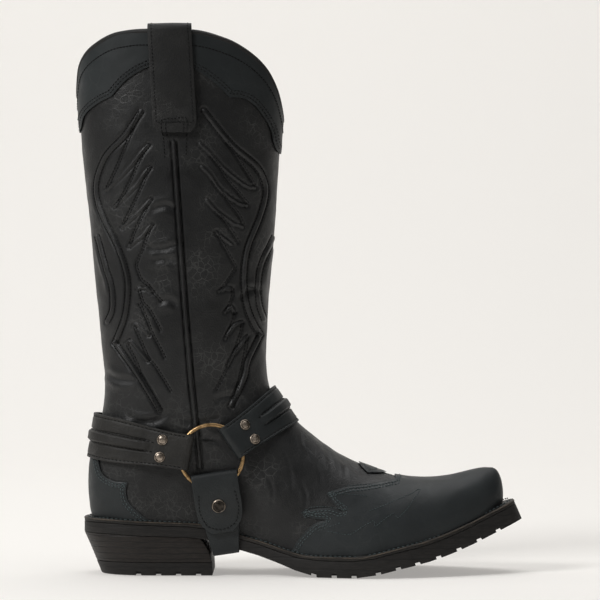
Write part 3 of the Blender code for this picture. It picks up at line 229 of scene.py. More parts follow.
@dataclass
class BootForm:
    """The upper's outer face and the sole's edge, from the boot's driving sizes."""

    outsole_length: float = 0.305
    ball_width: float = 0.106
    heel_height: float = 0.039
    toe_rise: float = 0.036
    ankle_height: float = 0.130
    collar_height: float = 0.3745
    shaft_width: float = 0.092
    collar_overhang: float = 0.0058
    welt_thickness: float = 0.003
    welt_extension: float = 0.006
    sole_thickness: float = 0.0112
    fit_clearance: float = 0.0006
    heel_round: float = 0.14
    toe_round: float = 0.055
    heel_power: float = 2.2
    toe_power: float = 2.6
    shaft_power: float = 2.15
    top_power: float = 2.4
    instep_slope: float = 1.05
    instep_start: float = 0.455
    toe_crest: float = 0.915
    blend: Pair = (0.55, 1.08)
    back_top: float = 1.83
    sag_end: float = 0.62
    sag_power: float = 1.3
    collar_start: float = 0.60
    dive: float = 0.016
    dive_length: float = 0.045
    edge_flat: float = 0.0004
    heel_back_x: float = field(init=False)
    stack: float = field(init=False)

    def __post_init__(self) -> None:
        """Lays out the profiles that the form is read from."""
        self.heel_back_x = -(self.outsole_length - self.collar_overhang) / 2.0
        self.stack = self.sole_thickness + self.welt_thickness
        rows = [(self.forward_x(f), self.real_height(self.forward_x(f), h))
                for f, h in FRONT_PROFILE]
        self.front = smooth_line(rows)
        heights = np.linspace(-0.04, self.back_top, 60)
        x = self.forward_x(BACK_PROFILE.at("forward", heights))
        self.back = np.column_stack([x, self.real_height(x, heights)])
        x, z = self.front[:, 0], self.front[:, 1]
        crest = self.forward_x(self.toe_crest)
        vamp = (x >= self.forward_x(self.instep_start)) & (x <= crest)
        self.vamp_x, self.vamp_z = x[vamp][::-1], z[vamp][::-1]
        low = np.argmin(np.where(x > self.forward_x(0.6), z + (x > crest), 9.0))
        self.shaft_x, self.shaft_z = x[low:], z[low:]
        self.toe_x, self.toe_z = x[x >= crest], z[x >= crest]

    def forward_x(self, share: np.ndarray) -> np.ndarray:
        """X of a share of the outsole's length, from the heel's back."""
        return self.heel_back_x + np.asarray(share) * self.outsole_length

    def share_of(self, x: np.ndarray) -> np.ndarray:
        """Share of the outsole's length at X."""
        return (np.asarray(x) - self.heel_back_x) / self.outsole_length

    def sole_line(self, x: np.ndarray) -> np.ndarray:
        """Height of the welt's top edge.

        Args:
            x: positions along the boot.

        Returns:
            A height for each.
        """
        share = self.share_of(x)
        heel = SOLE_LINE.at("heel_rise", share) * (self.heel_height - self.stack)
        return self.stack + heel + SOLE_LINE.at("toe_rise", share) * self.toe_rise

    def real_height(self, x: np.ndarray, height: np.ndarray) -> np.ndarray:
        """Metres for a height that counts 1 at the ankle and 2 at the collar.

        Args:
            x: positions along the boot.
            height: the heights as counted.

        Returns:
            The heights in metres.
        """
        low = self.sole_line(x) + height * (self.ankle_height - self.sole_line(x))
        rise = (np.asarray(height) - 1.0) * (self.collar_height - self.ankle_height)
        return np.where(np.asarray(height) < 1.0, low, self.ankle_height + rise)

    def foot_top(self, x: np.ndarray) -> np.ndarray:
        """Top of the foot over X, carried on behind the instep as a slope."""
        over = np.interp(x, self.vamp_x, self.vamp_z)
        return over + np.clip(self.vamp_x[0] - x, 0.0, None) * self.instep_slope

    def back_of(self, z: np.ndarray) -> np.ndarray:
        """X of the back line at a height."""
        return np.interp(z, self.back[:, 1], self.back[:, 0])

    @staticmethod
    def along_profile(profile: np.ndarray, share: np.ndarray) -> Tuple[np.ndarray, np.ndarray]:
        """Points of a profile.

        Args:
            profile: its X and Z.
            share: shares of its length.

        Returns:
            X and Z at each share.
        """
        steps = np.linalg.norm(np.diff(profile, axis=0), axis=1)
        reach = np.concatenate([[0.0], np.cumsum(steps)]) / steps.sum()
        return np.interp(share, reach, profile[:, 0]), np.interp(share, reach, profile[:, 1])

    def sole_half_width(self, x: np.ndarray, side: Side) -> np.ndarray:
        """Half width of the sole, rounded off at the heel and the toe.

        Args:
            x: positions along the boot.
            side: which side.

        Returns:
            A width for each.
        """
        width = SOLE_PLAN.at(side.name.lower(), self.share_of(x)) * self.ball_width
        heel = end_round(x - self.heel_back_x + self.edge_flat,
                         self.heel_round * self.outsole_length, self.heel_power)
        tip = self.forward_x(1.0) - x + self.edge_flat
        return width * heel * end_round(tip, self.toe_round * self.outsole_length, self.toe_power)

    def half_width(self, x: np.ndarray, z: np.ndarray, side: Side) -> np.ndarray:
        """Half width of the upper's outer face.

        Args:
            x: positions along the boot.
            z: their heights.
            side: which side.

        Returns:
            A width for each point of the side view.
        """
        name = side.name.lower()
        share = self.share_of(x)
        low = self.sole_line(x) - self.welt_thickness + self.fit_clearance
        rise = np.clip((z - low) / (self.foot_top(x) - low), 0.0, 1.0)
        inset = SOLE_PLAN.at("edge", share) * self.welt_extension
        swell = SOLE_PLAN.at(name + "_swell", share) * self.ball_width * smooth(0.0, 0.45, rise)
        body = SOLE_PLAN.at(name, share) * self.ball_width - inset + swell
        top = np.sqrt(1.0 - rise ** self.top_power)
        heel = end_round(x - self.back_of(z), self.heel_round * self.outsole_length,
                         self.heel_power)
        tip = np.interp(z, self.toe_z, self.toe_x) - x
        foot = body * top * heel * end_round(tip, self.toe_round * self.outsole_length,
                                             self.toe_power)
        height = np.where(z < self.ankle_height, z / self.ankle_height, 1.0 + (
            z - self.ankle_height) / (self.collar_height - self.ankle_height))
        front = np.interp(z, self.shaft_z, self.shaft_x)
        across = np.clip((x - self.back_of(z)) / (front - self.back_of(z)), 0.0, 1.0)
        oval = (1.0 - np.abs(2.0 * across - 1.0) ** self.shaft_power) ** (1.0 / self.shaft_power)
        shaft = SHAFT_WIDTHS.at("width", height) * self.shaft_width / 2.0 * oval
        return foot + (shaft - foot) * smooth(self.blend[0], self.blend[1], height)

    def side_point(self, ring: np.ndarray, turn: np.ndarray) -> Tuple[np.ndarray, np.ndarray]:
        """Side-view points of the rings round the boot.

        Args:
            ring: shares from the sole (0) to the collar (1).
            turn: shares from the back (0) to the front (1).

        Returns:
            Their X and Z.
        """
        back_x, back_z = self.along_profile(self.back, RING_CLIMB.at("back", ring))
        front_x, front_z = self.along_profile(self.front, RING_CLIMB.at("front", ring))
        across = (1.0 - np.cos(turn * math.pi)) / 2.0
        x = back_x + (front_x - back_x) * across
        z = back_z + (front_z - back_z) * across
        foot_x = self.back[0, 0] + (self.front[0, 0] - self.back[0, 0]) * across
        foot_z = self.back[0, 1] + (self.front[0, 1] - self.back[0, 1]) * across
        share = np.clip(1.0 - ring / self.sag_end, 0.0, 1.0) ** self.sag_power
        low = self.sole_line(foot_x) - self.welt_thickness + self.fit_clearance
        top_z = self.back[-1, 1] + (self.front[-1, 1] - self.back[-1, 1]) * across
        dip = (self.collar_height - top_z) * COLLAR_LINE.at("rise", turn)
        z = z + (low - foot_z) * share + dip * smooth(self.collar_start, 1.0, ring) ** self.sag_power
        under = self.foot_top(x) - self.dive * (1.0 - np.exp((x - front_x) / self.dive_length))
        return x, np.where(front_x < self.forward_x(self.instep_start), z, np.minimum(z, under))

    def sole_normal(self, x: np.ndarray) -> Tuple[np.ndarray, np.ndarray]:
        """Downward unit normal of the sole line.

        Args:
            x: positions along the boot.

        Returns:
            Its X and Z at each.
        """
        step = 0.002
        slope = (self.sole_line(x + step) - self.sole_line(x - step)) / (2.0 * step)
        size = np.sqrt(1.0 + slope * slope)
        return slope / size, -1.0 / size

    def sole_edge(self, share: np.ndarray, side: Side, depth: float, inset: float) -> np.ndarray:
        """Points of the sole's edge.

        Args:
            share: stations from the heel (0) to the toe (1).
            side: which side of the sole.
            depth: how far below the welt's top edge.
            inset: how far in from the edge, in plan.

        Returns:
            One row of X, Y and Z each.
        """
        tip = self.forward_x(1.0)
        line_end = tip - self.sole_normal(tip)[0] * self.stack
        x = self.heel_back_x + share * (line_end - self.heel_back_x)
        normal_x, normal_z = self.sole_normal(x)
        y = side.value * self.sole_half_width(self.forward_x(share), side)
        points = np.column_stack([x + normal_x * depth, y, self.sole_line(x) + normal_z * depth])
        if inset:
            run = np.gradient(points[:, :2], axis=0)
            run /= np.maximum(np.linalg.norm(run, axis=1, keepdims=True), 1e-9)
            points[:, 0] += run[:, 1] * inset * side.value
            points[:, 1] -= run[:, 0] * inset * side.value
        return points

    def surface(self, rings: np.ndarray, turns: np.ndarray) -> np.ndarray:
        """Points of the outer face.

        Args:
            rings: shares from the sole (0) to the collar (1).
            turns: 0 at the back, 1 at the front over the outer side, 2 at the back again.

        Returns:
            An array of rings by turns by three.
        """
        ring, turn = np.meshgrid(rings, turns, indexing="ij")
        outer = turn <= 1.0
        x, z = self.side_point(ring, np.where(outer, turn, 2.0 - turn))
        y = np.where(outer, -self.half_width(x, z, Side.OUTER), self.half_width(x, z, Side.INNER))
        return np.stack([x, y, z], axis=-1)


def grid_normals(points: np.ndarray, closed: bool) -> np.ndarray:
    """Outward unit normals of a grid of points.

    Args:
        points: rings by turns by three.
        closed: whether each ring joins up.

    Returns:
        Normals of the same shape.
    """
    if closed:
        around = np.roll(points, -1, axis=1) - np.roll(points, 1, axis=1)
    else:
        around = np.gradient(points, axis=1)
    up = np.gradient(points, axis=0)
    normal = np.cross(around, up)
    size = np.linalg.norm(normal, axis=-1, keepdims=True)
    return normal / np.maximum(size, 1e-12)


@dataclass(frozen=True)
class SideView:
    """The photograph's camera: turns its pixels into the boot's own X and Z."""

    distance: float = 2.030
    height: float = 0.1928
    centre_x: float = 0.0007
    focal_px: float = 2900.0
    centre_px: Pair = (300.0, 295.8)

    def line(self, pixels: Sequence[Pair], depth: float = 0.040) -> np.ndarray:
        """Side-view metres of pixels that lie a depth before the middle plane."""
        scale = (self.distance - depth) / self.focal_px
        px = np.array(pixels, dtype=float)
        return np.column_stack([self.centre_x + (px[:, 0] - self.centre_px[0]) * scale,
                                self.height - (px[:, 1] - self.centre_px[1]) * scale])


VIEW = SideView()


def distance_to(line: np.ndarray, x: np.ndarray, z: np.ndarray) -> Tuple[np.ndarray, np.ndarray]:
    """Distance to a line in the side view.

    Args:
        line: the line's points.
        x: positions along the boot.
        z: heights.

    Returns:
        The distance, and the share of the line's length where it is nearest.
    """
    best = np.full(x.shape, 9.0)
    along = np.zeros(x.shape)
    steps = np.linalg.norm(np.diff(line, axis=0), axis=1)
    reach = np.concatenate([[0.0], np.cumsum(steps)])
    for i, step in enumerate(steps):
        run = line[i + 1] - line[i]
        t = np.clip(((x - line[i, 0]) * run[0] + (z - line[i, 1]) * run[1]) / step ** 2, 0.0, 1.0)
        gap = np.hypot(x - line[i, 0] - t * run[0], z - line[i, 1] - t * run[1])
        nearer = gap < best
        best = np.where(nearer, gap, best)
        along = np.where(nearer, (reach[i] + t * step) / reach[-1], along)
    return best, along


class Mark(enum.Enum):
    """How a line shows in the leather."""

    CREASE = "soft trough with lips, fading at its ends"
    GROOVE = "narrow trough under a stitch row"
    CORD = "raised cord between two grooves"
    RIDGE = "soft fold that stands out, fading at its ends"


@dataclass(frozen=True)
class Drawn:
    """A line drawn on the side view, and how deep and wide it shows."""

    line: np.ndarray
    mark: Mark
    depth: float
    width: float

    def relief(self, x: np.ndarray, z: np.ndarray) -> np.ndarray:
        """Height of the leather over its plain surface.

        Args:
            x: positions along the boot.
            z: their heights.

        Returns:
            Metres at each point.
        """
        reach = self.width * 5.0
        found = np.zeros(x.shape)
        near = ((x > self.line[:, 0].min() - reach) & (x < self.line[:, 0].max() + reach)
                & (z > self.line[:, 1].min() - reach) & (z < self.line[:, 1].max() + reach))
        if not near.any():
            return found
        gap, along = distance_to(self.line, x[near], z[near])
        gap = gap / self.width
        if self.mark is Mark.CORD:
            shape = np.exp(-gap ** 2) - 0.9 * np.exp(-((gap - 2.1) / 0.8) ** 2)
        elif self.mark is Mark.GROOVE:
            shape = -np.exp(-gap ** 2)
        else:
            lips = 0.45 * np.exp(-((gap - 2.0) / 1.1) ** 2)
            fade = np.sin(np.pi * np.clip(along, 0.0, 1.0)) ** 0.6
            shape = (lips - np.exp(-gap ** 2)) * fade
            if self.mark is Mark.RIDGE:
                shape = np.exp(-gap ** 2) * fade
        found[near] = shape * self.depth
        return found


def undulation(points: np.ndarray, size: float, seed: int) -> np.ndarray:
    """Soft unevenness of worn leather: a sum of waves in seeded directions.

    Args:
        points: positions, with three numbers last.
        size: the waves' length in metres.
        seed: picks the directions.

    Returns:
        Values of about -1 to 1.
    """
    dice = np.random.default_rng(seed)
    total = np.zeros(points.shape[:-1])
    for k in range(9):
        direction = dice.normal(size=3)
        direction /= np.linalg.norm(direction)
        wave = 2.0 * math.pi / (size * dice.uniform(0.6, 1.8))
        total += np.sin(points @ direction * wave + dice.uniform(0.0, 6.3) + np.sin(
            points @ np.roll(direction, 1) * wave * 0.7))
    return total / 5.0


class Leather:
    """The relief that every layer over the upper shares: its unevenness and its lines."""

    broad = 0.00026
    broad_size = 0.045
    fine = 0.00011
    fine_size = 0.014

    def __init__(self, drawn: Sequence[Drawn]) -> None:
        """Keeps the drawn lines.

        Args:
            drawn: every line that presses into the leather.
        """
        self.drawn = list(drawn)

    def relief(self, points: np.ndarray, marks: Sequence[Mark]) -> np.ndarray:
        """Relief of the leather.

        Args:
            points: where to read it.
            marks: the kinds of line that count.

        Returns:
            Metres over the plain surface at each point.
        """
        total = (self.broad * undulation(points, self.broad_size, 5)
                 + self.fine * undulation(points, self.fine_size, 8))
        x, y, z = points[..., 0], points[..., 1], points[..., 2]
        for line in self.drawn:
            if line.mark in marks:
                total = total + np.where(y != 0.0, line.relief(x, z), 0.0)
        return total


def grid_quads(rows: int, columns: int, closed: bool, base: int = 0) -> np.ndarray:
    """Quads of a grid, turned outwards.

    Args:
        rows: its rows.
        columns: points in a row.
        closed: whether the rows join up.
        base: index of its first point.

    Returns:
        Four corner indices a quad.
    """
    span = columns if closed else columns - 1
    i, k = np.meshgrid(np.arange(rows - 1), np.arange(span), indexing="ij")
    n = (k + 1) % columns
    quads = [i * columns + k, i * columns + n, (i + 1) * columns + n, (i + 1) * columns + k]
    return base + np.stack(quads, axis=-1).reshape(-1, 4)


def linked(name: str, data: bpy.types.ID) -> bpy.types.Object:
    """Puts a new object with some data in the scene.

    Args:
        name: the object's name.
        data: its mesh, lamp or camera.

    Returns:
        The object.
    """
    made = bpy.data.objects.new(name, data)
    bpy.context.scene.collection.objects.link(made)
    return made


def bevelled(made: bpy.types.Object, width: float, angle: float) -> None:
    """Rounds the edges of a piece.

    Args:
        made: the piece.
        width: width of the rounding.
        angle: degrees that an edge turns before it is rounded.
    """
    edge = made.modifiers.new("edge", "BEVEL")
    edge.width = width
    edge.segments = 2
    edge.limit_method = "ANGLE"
    edge.angle_limit = math.radians(angle)


def turn_out(made: bpy.types.Object) -> None:
    """Makes a closed mesh's faces point out.

    Args:
        made: the object whose mesh it is.
    """
    shape = bmesh.new()
    shape.from_mesh(made.data)
    bmesh.ops.recalc_face_normals(shape, faces=shape.faces)
    shape.to_mesh(made.data)
    shape.free()


def mesh_object(name: str, vertices: np.ndarray, faces: np.ndarray,
                materials: Sequence[bpy.types.Material],
                slots: Optional[np.ndarray] = None) -> bpy.types.Object:
    """Makes a smooth-shaded mesh object.

    Args:
        name: the piece's name.
        vertices: points, one row each.
        faces: quads, one row each.
        materials: what its slots hold.
        slots: the slot of each face, or None for the first.

    Returns:
        The new object, linked to the scene.
    """
    mesh = bpy.data.meshes.new(name)
    quads = faces.tolist() if isinstance(faces, np.ndarray) else faces
    mesh.from_pydata(np.asarray(vertices).reshape(-1, 3).tolist(), [], quads)
    for material in materials:
        mesh.materials.append(material)
    if slots is not None:
        mesh.polygons.foreach_set("material_index", np.asarray(slots, dtype=np.int32))
    mesh.shade_smooth()
    mesh.update()
    return linked(name, mesh)


def slab(outer: np.ndarray, inner: np.ndarray, closed: bool) -> Tuple[np.ndarray, List]:
    """Closed sheet between two grids; the grid behind may be coarser.

    Args:
        outer: the grid that faces out.
        inner: the grid behind it, whose steps divide the outer's.
        closed: whether the rows join up.

    Returns:
        The points and the faces, the outer ones first.
    """
    rows, columns = outer.shape[:2]
    back_rows, back_columns = inner.shape[:2]
    count = rows * columns
    faces = grid_quads(rows, columns, closed).tolist()
    faces += grid_quads(back_rows, back_columns, closed, count)[:, ::-1].tolist()
    span = back_columns if closed else back_columns - 1
    step = columns // back_columns if closed else (columns - 1) // (back_columns - 1)
    top = (rows - 1) * columns
    back_top = count + (back_rows - 1) * back_columns
    for k in range(span):
        n = (k + 1) % back_columns
        fine = [(k * step + i) % columns for i in range(step + 1)]
        faces.append(fine[::-1] + [count + k, count + n])
        faces.append([top + i for i in fine] + [back_top + n, back_top + k])
    if not closed:
        rise = (rows - 1) // (back_rows - 1)
        last, back_last = columns - 1, back_columns - 1
        for i in range(back_rows - 1):
            fine = [(i * rise + j) * columns for j in range(rise + 1)]
            low, high = count + i * back_columns, count + (i + 1) * back_columns
            faces.append(fine + [high, low])
            faces.append([last + j for j in fine[::-1]] + [low + back_last, high + back_last])
    return np.concatenate([outer.reshape(-1, 3), inner.reshape(-1, 3)]), faces


def tube(path: np.ndarray, radii: Pair, sides: int, closed: bool) -> Tuple[np.ndarray, List]:
    """Closed tube along a path, with level and upright radii.

    Args:
        path: its middle line.
        radii: the radius across the path, and the one up.
        sides: points of its section.
        closed: whether the path joins up.

    Returns:
        The points and the faces.
    """
    if closed:
        run = np.roll(path, -1, axis=0) - np.roll(path, 1, axis=0)
    else:
        run = np.gradient(path, axis=0)
    run /= np.linalg.norm(run, axis=1, keepdims=True)
    across = np.cross(run, np.array([0.0, 0.0, 1.0]))
    across /= np.maximum(np.linalg.norm(across, axis=1, keepdims=True), 1e-9)
    up = np.cross(across, run)
    turn = -2.0 * math.pi * np.arange(sides) / sides
    points = (path[:, None, :] + across[:, None, :] * (radii[0] * np.cos(turn))[None, :, None]
              + up[:, None, :] * (radii[1] * np.sin(turn))[None, :, None])
    rows = len(path)
    faces = (grid_quads(rows + int(closed), sides, True) % (rows * sides)).tolist()
    if not closed:
        faces.append(list(range(sides))[::-1])
        faces.append(list(range((rows - 1) * sides, rows * sides)))
    return points.reshape(-1, 3), faces


def evaluated(made: bpy.types.Object) -> bpy.types.Object:
    """Replaces an object's mesh by its modifiers' result and drops the modifiers.

    Args:
        made: the object.

    Returns:
        The same object.
    """
    graph = bpy.context.evaluated_depsgraph_get()
    mesh = bpy.data.meshes.new_from_object(made.evaluated_get(graph))
    old = made.data
    made.modifiers.clear()
    made.data = mesh
    mesh.name = made.name
    if old.users == 0:
        bpy.data.meshes.remove(old)
    return made


class NodeTree:
    """A node tree under construction: a node or a link in a line each."""

    def __init__(self, tree: bpy.types.NodeTree) -> None:
        """Wraps a tree."""
        self.tree = tree

    def add(self, kind: str, inputs: Optional[Dict[str, object]] = None,
            **settings: object) -> bpy.types.Node:
        """Adds a node.

        Args:
            kind: the node's type.
            inputs: socket names, each with a value or a socket to link from.
            **settings: the node's own properties.

        Returns:
            The node.
        """
        node = self.tree.nodes.new(kind)
        for name, value in settings.items():
            setattr(node, name, value)
        for name, value in (inputs or {}).items():
            self.feed(node.inputs[name], value)
        return node

    def feed(self, socket: bpy.types.NodeSocket, value: object) -> None:
        """Links an input or sets its value.

        Args:
            socket: the input.
            value: a socket to link from, or a value.
        """
        if isinstance(value, bpy.types.NodeSocket):
            self.tree.links.new(value, socket)
        else:
            socket.default_value = value

    def math(self, operation: str, first: object, second: object = 0.0) -> bpy.types.NodeSocket:
        """Adds a math node.

        Args:
            operation: what it does.
            first: its first value or socket.
            second: its second value or socket.

        Returns:
            Its result.
        """
        node = self.add("ShaderNodeMath", operation=operation)
        self.feed(node.inputs[0], first)
        self.feed(node.inputs[1], second)
        return node.outputs[0]

    def mix(self, share: bpy.types.NodeSocket, first: object,
            second: Colour) -> bpy.types.NodeSocket:
        """Mixes two colours.

        Args:
            share: how much of the second, 0 to 1.
            first: a colour, or a socket that gives one.
            second: a colour.

        Returns:
            The mixed colour.
        """
        node = self.add("ShaderNodeMix", data_type="RGBA", clamp_factor=True)
        self.feed(node.inputs[0], share)
        self.feed(node.inputs[6], first if isinstance(first, bpy.types.NodeSocket)
                  else (*first, 1.0))
        self.feed(node.inputs[7], (*second, 1.0))
        return node.outputs[2]

    def ramp(self, value: bpy.types.NodeSocket, low: float, high: float) -> bpy.types.NodeSocket:
        """Maps a value from low..high to 0..1, smoothly and clamped."""
        node = self.add("ShaderNodeMapRange", {"Value": value, "From Min": low, "From Max": high},
                        interpolation_type="SMOOTHSTEP")
        return node.outputs["Result"]


def new_material(name: str) -> Tuple[bpy.types.Material, NodeTree, bpy.types.Node,
                                     bpy.types.NodeSocket]:
    """Starts a material.

    Args:
        name: its name.

    Returns:
        The material, its wrapped tree, its shader and its Object coordinates.
    """
    made = bpy.data.materials.new(name)
    made.use_nodes = True
    tree = NodeTree(made.node_tree)
    place = tree.add("ShaderNodeTexCoord")
    return made, tree, made.node_tree.nodes["Principled BSDF"], place.outputs["Object"]


def new_group(name: str, inputs: Dict[str, Tuple[str, float]],
              outputs: Sequence[str]) -> Tuple[bpy.types.NodeTree, NodeTree, Dict, bpy.types.Node]:
    """Starts a shader group.

    Args:
        name: its name.
        inputs: socket names with their type and default.
        outputs: names of the value outputs.

    Returns:
        The group, its wrapped tree, its input sockets by name and its output node.
    """
    group = bpy.data.node_groups.new(name, "ShaderNodeTree")
    for key, (kind, default) in inputs.items():
        socket = group.interface.new_socket(key, in_out="INPUT", socket_type=kind)
        if kind == "NodeSocketFloat":
            socket.default_value = default
    for key in outputs:
        group.interface.new_socket(key, in_out="OUTPUT", socket_type="NodeSocketFloat")
    tree = NodeTree(group)
    entry = tree.add("NodeGroupInput")
    leave = tree.add("NodeGroupOutput")
    return group, tree, {key: entry.outputs[key] for key in inputs}, leave


def leather_group() -> bpy.types.NodeTree:
    """Grain pebbles, fine cracks and broad mottling of waxed leather.

    Returns:
        The group.
    """
    group, tree, given, leave = new_group(
        "leather_grain",
        {"Vector": ("NodeSocketVector", 0.0), "Grain": ("NodeSocketFloat", 900.0),
         "Cracks": ("NodeSocketFloat", 170.0), "Mottle": ("NodeSocketFloat", 26.0)},
        ("Height", "Crack", "Mottle"))
    bend = tree.add("ShaderNodeTexNoise",
                    {"Vector": given["Vector"], "Scale": 120.0, "Detail": 3.0})
    push = tree.add("ShaderNodeVectorMath", {0: bend.outputs["Color"], "Scale": 0.006},
                    operation="SCALE")
    moved = tree.add("ShaderNodeVectorMath", {0: given["Vector"], 1: push.outputs[0]},
                     operation="ADD")
    pebble = tree.add("ShaderNodeTexVoronoi", {"Vector": given["Vector"], "Scale": given["Grain"]})
    crack = tree.add("ShaderNodeTexVoronoi", {"Vector": moved.outputs[0], "Scale": given["Cracks"]},
                     feature="DISTANCE_TO_EDGE")
    fine = tree.add("ShaderNodeTexNoise",
                    {"Vector": given["Vector"], "Scale": 1500.0, "Detail": 4.0})
    spread = tree.add("ShaderNodeTexNoise", {"Vector": given["Vector"], "Scale": given["Mottle"],
                                             "Detail": 5.0, "Roughness": 0.6})
    line = tree.math("SUBTRACT", 1.0, tree.ramp(crack.outputs["Distance"], 0.0, 0.10))
    patch = tree.ramp(spread.outputs["Fac"], 0.45, 0.66)
    crack_mask = tree.math("MULTIPLY", line, patch)
    height = tree.math("ADD", tree.math("MULTIPLY", pebble.outputs["Distance"], 0.5),
                       tree.math("MULTIPLY", fine.outputs["Fac"], 0.5))
    height = tree.math("SUBTRACT", height, tree.math("MULTIPLY", crack_mask, 0.6))
    tree.feed(leave.inputs["Height"], height)
    tree.feed(leave.inputs["Crack"], crack_mask)
    tree.feed(leave.inputs["Mottle"], spread.outputs["Fac"])
    return group


def wear_group() -> bpy.types.NodeTree:
    """Rubbed patches and dust on what faces up.

    Returns:
        The group.
    """
    group, tree, given, leave = new_group(
        "rub_and_dust", {"Vector": ("NodeSocketVector", 0.0), "Scale": ("NodeSocketFloat", 60.0)},
        ("Rub", "Dust"))
    patches = tree.add("ShaderNodeTexNoise", {"Vector": given["Vector"], "Scale": given["Scale"],
                                              "Detail": 6.0, "Roughness": 0.7})
    facing = tree.add("ShaderNodeNewGeometry")
    split = tree.add("ShaderNodeSeparateXYZ", {"Vector": facing.outputs["Normal"]})
    up = tree.ramp(split.outputs["Z"], 0.35, 1.0)
    tree.feed(leave.inputs["Rub"], tree.ramp(patches.outputs["Fac"], 0.5, 0.7))
    tree.feed(leave.inputs["Dust"], tree.math("MULTIPLY", up, patches.outputs["Fac"]))
    return group


@dataclass(frozen=True)
class LeatherFinish:
    """A leather's colour, gloss and grain."""

    name: str
    dark: Colour
    light: Colour
    roughness: float = 0.5
    gloss_spread: float = 0.12
    grain: float = 900.0
    grain_depth: float = 0.00016
    cracks: float = 170.0
    crack_light: float = 0.35
    scratch: Colour = (0.050, 0.050, 0.048)
    mottle: float = 26.0
    specular: float = 0.4

    def build(self, groups: Dict[str, bpy.types.NodeTree]) -> bpy.types.Material:
        """Makes the material.

        Args:
            groups: the shared effects.

        Returns:
            The material.
        """
        made, tree, shader, place = new_material(self.name)
        grain = tree.add("ShaderNodeGroup", {
            "Vector": place, "Grain": self.grain, "Cracks": self.cracks, "Mottle": self.mottle},
            node_tree=groups["leather"])
        wear = tree.add("ShaderNodeGroup", {"Vector": place}, node_tree=groups["wear"])
        shade = tree.math("ADD", tree.ramp(grain.outputs["Mottle"], 0.3, 0.75),
                          tree.math("MULTIPLY", wear.outputs["Dust"], 0.3))
        worn = tree.math("MULTIPLY", grain.outputs["Crack"], self.crack_light)
        tree.feed(shader.inputs["Base Color"],
                  tree.mix(worn, tree.mix(shade, self.dark, self.light), self.scratch))
        tree.feed(shader.inputs["Roughness"], tree.math(
            "SUBTRACT", self.roughness + self.gloss_spread / 2.0, tree.math(
                "MULTIPLY", wear.outputs["Rub"], self.gloss_spread)))
        bump = tree.add("ShaderNodeBump", {"Height": grain.outputs["Height"], "Strength": 1.0,
                                           "Distance": self.grain_depth})
        tree.feed(shader.inputs["Normal"], bump.outputs["Normal"])
        tree.feed(shader.inputs["Specular IOR Level"], self.specular)
        return made


@dataclass(frozen=True)
class BandedFinish:
    """Rubber or stacked leather, with level bands along Z."""

    name: str
    dark: Colour
    light: Colour
    roughness: float
    band_pitch: float
    band_depth: float
    speckle: float = 700.0
    specular: float = 0.3

    def build(self, groups: Dict[str, bpy.types.NodeTree]) -> bpy.types.Material:
        """Makes the material.

        Args:
            groups: the shared effects.

        Returns:
            The material.
        """
        made, tree, shader, place = new_material(self.name)
        split = tree.add("ShaderNodeSeparateXYZ", {"Vector": place})
        wander = tree.add("ShaderNodeTexNoise", {"Vector": place, "Scale": 45.0, "Detail": 3.0})
        level = tree.math("ADD", tree.math("DIVIDE", split.outputs["Z"], self.band_pitch),
                          tree.math("MULTIPLY", wander.outputs["Fac"], 0.35))
        saw = tree.math("FRACT", level)
        line = tree.ramp(tree.math("ABSOLUTE", tree.math("SUBTRACT", saw, 0.5)), 0.36, 0.5)
        stretch = tree.add("ShaderNodeMapping", {"Vector": place, "Scale": (1.0, 1.0, 9.0)})
        streak = tree.add("ShaderNodeTexNoise", {"Vector": stretch.outputs["Vector"],
                                                 "Scale": 160.0, "Detail": 6.0,
                                                 "Roughness": 0.7})
        speck = tree.add("ShaderNodeTexNoise", {"Vector": place, "Scale": self.speckle,
                                                "Detail": 3.0})
        wear = tree.add("ShaderNodeGroup", {"Vector": place}, node_tree=groups["wear"])
        shade = tree.math("SUBTRACT", tree.ramp(streak.outputs["Fac"], 0.35, 0.75),
                          tree.math("MULTIPLY", line, 0.5))
        shade = tree.math("ADD", shade, tree.math("MULTIPLY", wear.outputs["Dust"], 1.2))
        tree.feed(shader.inputs["Base Color"], tree.mix(shade, self.dark, self.light))
        tree.feed(shader.inputs["Roughness"], tree.math("ADD", self.roughness - 0.06, tree.math(
            "MULTIPLY", streak.outputs["Fac"], 0.12)))
        height = tree.math("SUBTRACT", tree.math("MULTIPLY", speck.outputs["Fac"], 0.35), line)
        bump = tree.add("ShaderNodeBump", {"Height": height, "Strength": 1.0,
                                           "Distance": self.band_depth})
        tree.feed(shader.inputs["Normal"], bump.outputs["Normal"])
        tree.feed(shader.inputs["Specular IOR Level"], self.specular)
        return made


@dataclass(frozen=True)
class MetalFinish:
    """Aged metal: a base colour, darker in patches, with fine scratches."""

    name: str
    base: Colour
    tarnish: Colour
    roughness: float

    def build(self, groups: Dict[str, bpy.types.NodeTree]) -> bpy.types.Material:
        """Makes the material.

        Args:
            groups: the shared effects, which metal doesn't need.

        Returns:
            The material.
        """
        made, tree, shader, place = new_material(self.name)
        patches = tree.add("ShaderNodeTexNoise", {"Vector": place, "Scale": 380.0,
                                                  "Detail": 5.0})
        scratch = tree.add("ShaderNodeTexNoise", {"Vector": place, "Scale": 2200.0,
                                                  "Detail": 3.0})
        tree.feed(shader.inputs["Base Color"], tree.mix(
            tree.ramp(patches.outputs["Fac"], 0.38, 0.68), self.base, self.tarnish))
        tree.feed(shader.inputs["Roughness"], tree.math("ADD", self.roughness, tree.math(
            "MULTIPLY", patches.outputs["Fac"], 0.2)))
        bump = tree.add("ShaderNodeBump", {"Height": scratch.outputs["Fac"], "Strength": 0.6,
                                           "Distance": 0.0001})
        tree.feed(shader.inputs["Normal"], bump.outputs["Normal"])
        tree.feed(shader.inputs["Metallic"], 1.0)
        return made


